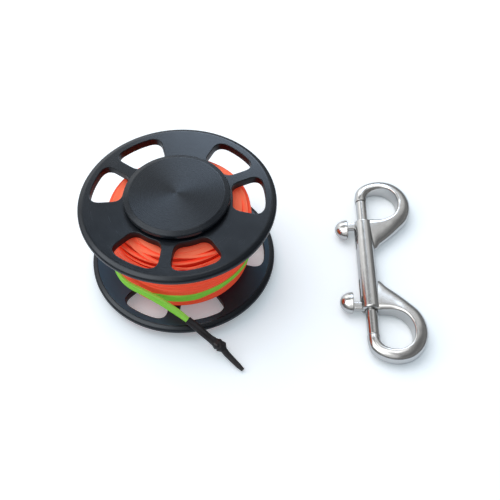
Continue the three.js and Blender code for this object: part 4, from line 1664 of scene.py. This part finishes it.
        for i in range(self.wrap_steps + 1):
            degrees = first + (last - first) * i / self.wrap_steps
            angle = math.radians(degrees)
            share, spread = between(self.wrap_course, degrees)
            height = SPOOL_MIDDLE + self.line_space * (share - 0.5)
            out = Vector((math.cos(angle), math.sin(angle), 0))
            lean = self.sway * math.sin(3.1 * angle + 0.6)
            face = out * math.cos(lean) + Vector((0, 0, math.sin(lean)))
            across = Vector((0, 0, math.cos(lean))) - out * math.sin(lean)
            centre = out * self.wrap_radius + Vector((0, 0, height))
            width = self.wrap_width * spread
            points, places = self.ring(centre, across, face, width, deep, self.wrap_squareness)
            rings.append(points)
            shell.weave += [(angle * self.wrap_radius * MM, place, 0.0) for place, _ in places]
        shell.rings(rings, caps=True)
        return shell

    def build_cord(self) -> None:
        skins, body, soft = self.finishes, Body.SPOOL, SOFT_CREASE
        sleeve = self.piece(self.sleeve(), "knot_sleeve", skins.sleeve, body, Slot.SLEEVE, "tail_sleeve", soft)
        tail = self.piece(self.tail(), "doubled_tail", skins.marker, body, Slot.MARKER, "marker_tail", soft)

    def build_wrap(self) -> None:
        """Makes the wrap."""
        skin = self.finishes.marker
        self.piece(self.wrap(), "marker_band", skin, Body.SPOOL, Slot.MARKER, "marker_wrap", SOFT_CREASE)


@dataclass
class Hardware(Maker):
    """Screws, balls and bearing rings, and the finishes of the turned parts that stay as they are."""

    screw_circle: float = 13.5
    screw_top: float = 19.8
    screw_head: float = 3.0
    screw_head_depth: float = 1.7
    screw_radius: float = 1.5
    screw_length: float = 10.0
    screw_count: int = 3
    socket: float = 1.1
    socket_depth: float = 0.9
    first_spoke: float = 25.0
    ball_radius: float = 1.985
    ball_count: int = 7
    ball_sides: int = 28
    bearing_middle: float = 12.6
    bearing_outer: float = 11.0
    bearing_bore: float = 4.0
    bearing_width: float = 7.0
    race_gap: float = 0.15
    land: float = 0.55
    chamfer: float = 0.25
    edge: float = 0.1  # broken edge of a screw's head
    tip_edge: float = 0.3
    sides: int = 48
    race_sides: int = 96
    race_steps: int = 6

    def screw(self) -> Shell:
        """Makes one countersunk screw, its head's face at height 0 and its hexagon socket open."""

        def ring(radius: float, height: float, hexagon: bool = False) -> list[Vector]:
            points = []
            for k in range(self.sides):
                angle = 2 * math.pi * k / self.sides
                part = (angle + math.pi / 6) % (math.pi / 3) - math.pi / 6
                reach = radius * math.cos(math.pi / 6) / math.cos(part) if hexagon else radius
                points.append(Vector((reach * math.cos(angle), reach * math.sin(angle), height)))
            return points

        shell = Shell()
        deep, tip, edge = -self.socket_depth, -self.screw_length, self.edge
        drill_point = 0.25
        shell.rings(
            [
                ring(0, deep - drill_point),
                ring(self.socket, deep, True),
                ring(self.socket, -edge, True),
                ring(self.socket + edge, 0, True),
                ring(self.screw_head - edge, 0),
                ring(self.screw_head, -edge),
                ring(self.screw_radius, -self.screw_head_depth),
                ring(self.screw_radius, tip + self.tip_edge),
                ring(self.screw_radius - self.tip_edge, tip),
                ring(0, tip),
            ]
        )
        return shell

    def screws(self) -> None:
        """Sets three screws into each flange."""
        pattern = self.screw().to_object("screw_pattern", CAST_CREASE)
        recipe = Recipe("screw_circle", ("Circle Radius", "Height", "Screws", "First Angle", "Tip Over"))
        given = recipe.given
        shape = recipe.node("GeometryNodeObjectInfo", None, {"Object": pattern}).outputs["Geometry"]
        recipe.circle_of(shape, given["Screws"], given["First Angle"], given["Tip Over"])
        piece = empty_piece("flange_screws")
        for _, way in ENDS:
            lengths = {"Circle Radius": self.screw_circle, "Height": SPOOL_MIDDLE + way * self.screw_top}
            tip = 0.0 if way > 0 else math.pi
            numbers = {"Screws": self.screw_count, "First Angle": math.radians(self.first_spoke), "Tip Over": tip}
            recipe.run(piece, self.finishes.steel, lengths, numbers)
        bpy.data.objects.remove(pattern)
        settle(piece, CAST_CREASE)
        nodes = [f"{end}_flange_screw_{k + 1}" for end, _ in ENDS for k in range(self.screw_count)]
        dress(piece, Body.SPOOL, nodes)

    def balls(self) -> None:
        """Sets the balls into both cages."""
        recipe = Recipe("ball_ring", ("Circle Radius", "Height", "Ball Radius", "Balls"))
        size = {"Segments": self.ball_sides, "Rings": self.ball_sides // 2, "Radius": recipe.given["Ball Radius"]}
        ball = recipe.node("GeometryNodeMeshUVSphere", None, size).outputs[0]
        recipe.circle_of(ball, recipe.given["Balls"])
        for (end, way), body in zip(ENDS, (Body.UPPER_CAGE, Body.LOWER_CAGE)):
            piece = empty_piece(f"{end}_ball_ring")
            lengths = {
                "Circle Radius": (self.bearing_outer + self.bearing_bore) / 2,
                "Height": SPOOL_MIDDLE + way * self.bearing_middle,
                "Ball Radius": self.ball_radius,
            }
            recipe.run(piece, self.finishes.steel, lengths, {"Balls": self.ball_count})
            settle(piece, SOFT_CREASE)
            nodes = [f"{end}_bearing_ball_{k + 1}" for k in range(self.ball_count)]
            dress(piece, body, nodes)

    def races(self) -> None:
        """Turns the outer and inner rings of both bearings."""
        groove = self.ball_radius + self.race_gap
        pitch = (self.bearing_outer + self.bearing_bore) / 2
        wide = math.acos((groove - self.land) / groove)
        half, chamfer, steps = self.bearing_width / 2, self.chamfer, self.race_steps
        shares = [1 - k / steps for k in range(2 * steps + 1)]
        skin = self.finishes.steel
        for kind, way, wall, body in (
            ("outer", 1, self.bearing_outer, Body.SPOOL),
            ("inner", -1, self.bearing_bore, Body.HANDLE),
        ):
            land = pitch + way * (groove - self.land)
            arc = [(pitch + way * groove * math.cos(s * wide), groove * math.sin(s * wide)) for s in shares]
            profile = [(wall, half - chamfer), (wall - way * chamfer, half), (land, half), *arc]
            profile += [(land, -half), (wall - way * chamfer, -half), (wall, chamfer - half)]
            for end, side in ENDS:
                middle = SPOOL_MIDDLE + side * self.bearing_middle
                ring = lathe([(r, h + middle) for r, h in profile], self.race_sides, True)
                node = f"{end}_bearing_{kind}_ring"
                self.piece(ring, f"{end}_{kind}_race", skin, body, Slot.STEEL, node, 25.0)

    def carried_over(self) -> None:
        """Gives the CAD nodes that stay their finishes."""
        skins = self.finishes
        for name, finish in {
            "hub_tube": skins.flange_inside,
            "spindle": skins.steel,
            "spacer_sleeve": skins.steel,
            "upper_bearing_cage": skins.nylon,
            "lower_bearing_cage": skins.nylon,
        }.items():
            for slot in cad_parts[name].material_slots:
                slot.material = finish
            LOG.info("%s keeps its form", name)

    def build(self) -> None:
        """Makes every piece of the hardware."""
        self.screws()
        self.balls()
        self.races()
        self.carried_over()


@dataclass
class BoltSnap(Maker):
    """The double-ended bolt snap: a cast body, two sliding bolts with thumb knobs, and their springs."""

    centre: Place = (80.7, -5.3, 4.2)
    turn: float = -0.73
    length: float = 95.4
    reach: float = 22.4
    barrel_radius: float = 4.2
    barrel_length: float = 47.0
    barrel_edge: float = 0.9
    web: float = 2.0
    bolt_radius: float = 2.5
    bolt_guide: float = 6.5
    bolt_tip: float = 0.5
    bore_gap: float = 0.25
    nose_gap: float = 0.25
    nose_share: float = 0.5
    nose_back: float = 0.6
    knob_length: float = 10.0
    knob_height: float = 7.4
    knob_depth: float = 5.6
    knob_stand_off: float = 3.2
    knob_offset: float = 1.9
    stem_length: float = 3.8
    stem_height: float = 2.4
    shank_radius: float = 0.9
    spring_radius: float = 1.9
    spring_wire: float = 0.6
    spring_curls: float = 6.0
    slot_gap: float = 0.2
    slot_corner: float = 0.3  # of the slot's height
    end_gap: float = 0.2  # between a spring's end or a stem and what it meets
    stem_edge: float = 0.5
    shank_gap: float = 0.15
    shank_depth: float = 1.4  # how far the shank's end stays under the bolt's surface
    knob_foot: float = 0.9  # of the stem inside the knob
    knob_rim: tuple[tuple[float, float], ...] = ((0.0, 0.45), (0.12, 0.12), (0.45, 0.0), (0.6, 0.0))
    knob_fullness: float = 0.92
    knob_crease: float = 40.0
    tail_edge: float = 0.3
    drill_start: float = 2.4  # outside the bolt
    drill_length: float = 4.0
    ring_points: int = 24
    corner_steps: int = 6
    barrel_sides: int = 112
    bore_sides: int = 72
    shank_sides: int = 32
    knob_sides: int = 96
    coil_steps: int = 28
    wire_sides: int = 12
    hook_steps: int = 132
    hook_rows: tuple[tuple[float, ...], ...] = (
        (0.174, 0.694, -0.071, 0.789, 0.74, 0.3),
        (0.281, 0.76, 0.107, 0.93, 0.81, 0.6),
        (0.429, 0.785, 0.393, 1, 0.88, 0.85),
        (0.58, 0.74, 0.679, 0.938, 0.95, 1),
        (0.692, 0.624, 0.893, 0.756, 0.98, 1),
        (0.737, 0.467, 0.998, 0.517, 0.99, 1),
        (0.723, 0.31, 0.993, 0.252, 0.99, 1),
        (0.661, 0.178, 0.9, 0.029, 0.95, 1),
        (0.549, 0.079, 0.71, -0.17, 0.9, 1),
        (0.402, 0.029, 0.509, -0.351, 0.83, 1),
        (0.25, 0.021, 0.321, -0.504, 0.79, 1),
        (0.116, 0.021, 0.205, -0.624, 0.76, 1),
        (0, -0.02, 0, -0.65, 0.74, 1),
    )
    section: tuple[tuple[float, float], ...] = (
        (0, 0), (0, 0.45), (0, 0.72), (0.02, 0.86), (0.07, 0.96), (0.16, 1), (0.3, 0.985), (0.5, 0.93),
        (0.7, 0.82), (0.86, 0.66), (0.95, 0.46), (0.99, 0.22), (1, 0),
    )

    def __post_init__(self) -> None:
        """Works out the sizes that follow from the others."""
        self.end = self.barrel_length / 2
        self.depth = self.length / 2 - self.end
        self.nose = self.end + self.nose_share * self.depth
        self.tip = self.nose - self.nose_gap
        self.tail = self.end - self.bolt_guide
        self.travel = self.tip - self.end - self.bolt_tip
        self.stem = self.end - self.end_gap - self.stem_length / 2
        self.slot_end = self.stem - self.stem_length / 2 - self.travel - self.slot_gap
        self.place = Matrix.Translation(self.centre) @ Matrix.Rotation(math.radians(self.turn), 4, "Z")
        self.laid = Matrix.Rotation(-math.pi / 2, 4, "X")
        self.ends = (("far", 1, Body.FAR_BOLT), ("near", -1, Body.NEAR_BOLT))

    def flipped(self, way: int) -> Matrix:
        """Returns what turns the far end's things into those of the end on that side."""
        return Matrix.Identity(4) if way > 0 else Matrix.Diagonal((1, -1, 1, 1))

    def hook(self) -> Shell:
        """Lofts one hook, from its nose round the eye into the barrel.

        Returns:
            The closed shell, in the snap's own place.
        """
        nose = self.bolt_radius + self.bore_gap
        back = self.end + self.nose_back * self.depth
        rows = [
            (nose, self.nose, -nose, self.nose, nose, 0),
            (nose, back, -nose, back, nose + (self.barrel_radius - nose) / 6, 0),
        ] + [
            (
                inner_x * self.reach,
                self.end + inner_y * self.depth,
                outer_x * self.reach,
                self.end + outer_y * self.depth,
                height * self.barrel_radius,
                flat,
            )
            for inner_x, inner_y, outer_x, outer_y, height, flat in self.hook_rows
        ]
        inner, outer, form = ([Vector((*row[k : k + 2], 0)) for row in rows] for k in (0, 2, 4))
        rings = []
        for i in range(self.hook_steps + 1):
            at = i / self.hook_steps
            half, flat, _ = smooth_point(form, at)
            start, stop = smooth_point(inner, at), smooth_point(outer, at)
            rings.append(self.hook_ring(start, stop, half, min(max(flat, 0.0), 1.0)))
        shell = Shell()
        shell.rings(rings, caps=True)
        return shell

    def hook_ring(self, inner: Vector, outer: Vector, half: float, flat: float) -> list[Vector]:
        """Makes one section of a hook.

        Args:
            inner: The section's edge at the eye.
            outer: Its outer edge.
            half: Half its height.
            flat: 0 for a round section and 1 for one with a flat wall at the eye.

        Returns:
            The section's points.
        """
        rows = [Vector((*pair, 0)) for pair in self.section]
        count = self.ring_points
        upper = []
        for k in range(count + 1):
            angle = math.pi * k / count
            circle = Vector(((1 - math.cos(angle)) / 2, math.sin(angle), 0))
            upper.append(circle.lerp(smooth_point(rows, k / count), flat))
        points = upper + [Vector((p.x, -p.y, 0)) for p in reversed(upper[1:-1])]
        return [inner.lerp(outer, p.x) + Vector((0, 0, p.y * half)) for p in points]

    def rounded_bar(self, start: float, stop: float, y: float, length: float, height: float, edge: float) -> Shell:
        """Makes a bar along X whose section has rounded corners.

        Args:
            start: Its first end.
            stop: Its other end.
            y: Its middle along Y.
            length: Its size along Y.
            height: Its size along Z.
            edge: Radius of its corners.

        Returns:
            The closed bar.
        """
        points = []
        for sy, sz, first in ((1, 1, 0), (-1, 1, 90), (-1, -1, 180), (1, -1, 270)):
            middle_y, middle_z = y + sy * (length / 2 - edge), sz * (height / 2 - edge)
            for k in range(self.corner_steps + 1):
                angle = math.radians(first + 90 * k / self.corner_steps)
                points.append((middle_y + edge * math.cos(angle), middle_z + edge * math.sin(angle)))
        shell = Shell()
        shell.rings([[Vector((x, py, pz)) for py, pz in points] for x in (start, stop)], caps=True)
        return shell

    def body(self) -> None:
        """Casts the body: the barrel and both hooks, bored and slotted."""
        radius, end = self.barrel_radius, self.end
        corners = [(0, end), (radius, end), (radius, -end), (0, -end)]
        profile = rounded(corners, {1: self.barrel_edge, 2: self.barrel_edge}, 8)
        piece = lathe(profile, self.barrel_sides).moved(self.laid).to_object("snap_casting")
        bore_radius = self.bolt_radius + self.bore_gap
        bore_end = self.nose - self.nose_gap / 2
        start = self.web / 2
        bore = rod(bore_radius, start, bore_end, self.bore_sides).moved(self.laid)
        slot_height = self.stem_height + 2 * self.slot_gap
        slot_stop = end + 1
        slot_middle, slot_length = (self.slot_end + slot_stop) / 2, slot_stop - self.slot_end
        slot_corner = slot_height * self.slot_corner
        slot = self.rounded_bar(-radius - 1, 0, slot_middle, slot_length, slot_height, slot_corner)
        hook = self.hook()
        for _, way, _ in self.ends:
            combine(piece, hook.moved(self.flipped(way)).to_object("hook"), Operation.JOIN)
        for _, way, _ in self.ends:
            combine(piece, bore.moved(self.flipped(way)).to_object("bore"), Operation.CUT)
            combine(piece, slot.moved(self.flipped(way)).to_object("slot"), Operation.CUT)
        self.finish(piece, self.finishes.polished, Body.HANDLE, Slot.POLISHED, "snap_body")

    def finish(
        self,
        piece: bpy.types.Object,
        skin: bpy.types.Material,
        body: Body,
        slot: Slot,
        node: str,
        crease: float = CAST_CREASE,
    ) -> None:
        """Puts a piece in its place, gives it its material and sets it on its body.

        Args:
            piece: The piece.
            skin: The material.
            body: The body that it moves with.
            slot: The slot of its finish; not used.
            node: The CAD node that it replaces.
            crease: Angle in degrees from which an edge stays sharp.
        """
        place = self.place.copy()
        place.translation *= MM
        piece.data.transform(place)
        settle(piece, crease)
        piece.data.materials.clear()
        piece.data.materials.append(skin)
        dress(piece, body, [node])

    def bolts(self) -> None:
        """Makes both bolts."""
        radius = self.bolt_radius
        corners = [(0, self.tip), (radius, self.tip), (radius, self.tail), (0, self.tail)]
        bolt = lathe(rounded(corners, {1: self.bolt_tip / 2, 2: self.tail_edge}), self.bore_sides).moved(self.laid)
        hole = rod(self.shank_radius + self.shank_gap, 0, self.drill_length, self.shank_sides)
        sideways = Matrix.Rotation(math.pi / 2, 4, "Y")
        drilled = Matrix.Translation((-radius - self.drill_start, self.stem, 0)) @ sideways
        for name, way, body in self.ends:
            piece = bolt.moved(self.flipped(way)).to_object(f"{name}_bolt_rod")
            tool = hole.moved(self.flipped(way) @ drilled).to_object("hole")
            combine(piece, tool, Operation.CUT)
            self.finish(piece, self.finishes.bolt, body, Slot.POLISHED, f"snap_bolt_{name}")

    def knobs(self) -> None:
        """Makes both thumb knobs, each with its stem through the slot and its shank in the bolt."""
        half, depth = self.knob_length / 2, self.knob_depth
        steps, overlap = 18, 1.0
        turns = [math.pi / 2 * k / steps for k in range(1, steps)]
        dome = [(0, depth)] + [(half * math.sin(a) ** self.knob_fullness, depth * math.cos(a)) for a in turns]
        dome += [(half - inset, height) for inset, height in self.knob_rim] + [(0, 0)]
        base = -(self.barrel_radius + self.knob_stand_off)
        oval = Matrix.Diagonal((1, 1, self.knob_height / self.knob_length, 1))
        pad = Matrix.Translation((base, self.stem - self.knob_offset, 0)) @ oval
        foot = -(self.bolt_radius + self.shank_gap)
        reach = self.shank_depth - self.bolt_radius - foot + overlap
        stem = self.rounded_bar(
            base - self.knob_foot, foot, self.stem, self.stem_length, self.stem_height, self.stem_edge
        )
        shank = rod(self.shank_radius, 0, 1, self.shank_sides)
        upright = Matrix.Rotation(math.pi / 2, 4, "Y") @ Matrix.Diagonal((1, 1, reach, 1))
        shank_place = Matrix.Translation((foot - overlap, self.stem, 0)) @ upright
        shaped = lathe(dome, self.knob_sides).moved(pad @ Matrix.Rotation(-math.pi / 2, 4, "Y"))
        for name, way, body in self.ends:
            flip = self.flipped(way)
            piece = shaped.moved(flip).to_object(f"{name}_thumb_knob")
            combine(piece, stem.moved(flip).to_object("stem"), Operation.JOIN)
            combine(piece, shank.moved(flip @ shank_place).to_object("shank"), Operation.JOIN)
            self.finish(piece, self.finishes.polished, body, Slot.POLISHED, f"snap_knob_{name}", self.knob_crease)

    def springs(self) -> None:
        """Coils the spring behind each bolt."""
        recipe = Recipe("coil", ("Coil Radius", "Wire Radius", "Curls", "Length"))
        given, node = recipe.given, recipe.node
        size = {"Resolution": self.coil_steps, "Rotations": given["Curls"], "Height": given["Length"]}
        radii = {"Start Radius": given["Coil Radius"], "End Radius": given["Coil Radius"]}
        coil = node("GeometryNodeCurveSpiral", None, {**size, **radii}).outputs[0]
        round_wire = {"Resolution": self.wire_sides, "Radius": given["Wire Radius"]}
        wire = node("GeometryNodeCurvePrimitiveCircle", {"mode": "RADIUS"}, round_wire).outputs[0]
        swept = {"Curve": coil, "Profile Curve": wire, "Fill Caps": True}
        recipe.end(node("GeometryNodeCurveToMesh", None, swept).outputs[0])
        start, stop = self.web / 2 + self.end_gap, self.tail - self.end_gap
        wire_half, skin = self.spring_wire / 2, self.finishes.steel
        length = stop - start - 2 * wire_half
        lengths = {"Coil Radius": self.spring_radius, "Wire Radius": wire_half, "Length": length}
        for name, way, _ in self.ends:
            piece = empty_piece(f"{name}_bolt_spring")
            recipe.run(piece, skin, lengths, {"Curls": self.spring_curls})
            lift = Matrix.Translation((0, 0, (start + wire_half) * MM))
            piece.data.transform(self.flipped(way) @ self.laid @ lift)
            self.finish(piece, skin, Body.HANDLE, Slot.STEEL, f"snap_spring_{name}", SOFT_CREASE)
            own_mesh(piece)

    def build(self) -> None:
        """Makes every piece of the snap."""
        self.body()
        self.bolts()
        self.knobs()
        self.springs()


def main() -> None:
    """Builds the camera, the cord, and then every other piece."""
    logging.basicConfig(level=logging.INFO, format="%(name)s: %(message)s")
    PhotoCamera().build()
    finishes = Finishes()
    marker = MarkerLine(finishes)
    marker.build_cord()
    FlangePair(finishes).build()
    GripDiscs(finishes).build()
    WoundLine(finishes).build()
    marker.build_wrap()
    Hardware(finishes).build()
    BoltSnap(finishes).build()
    Studio().build()


if __name__ == "__main__":
    main()
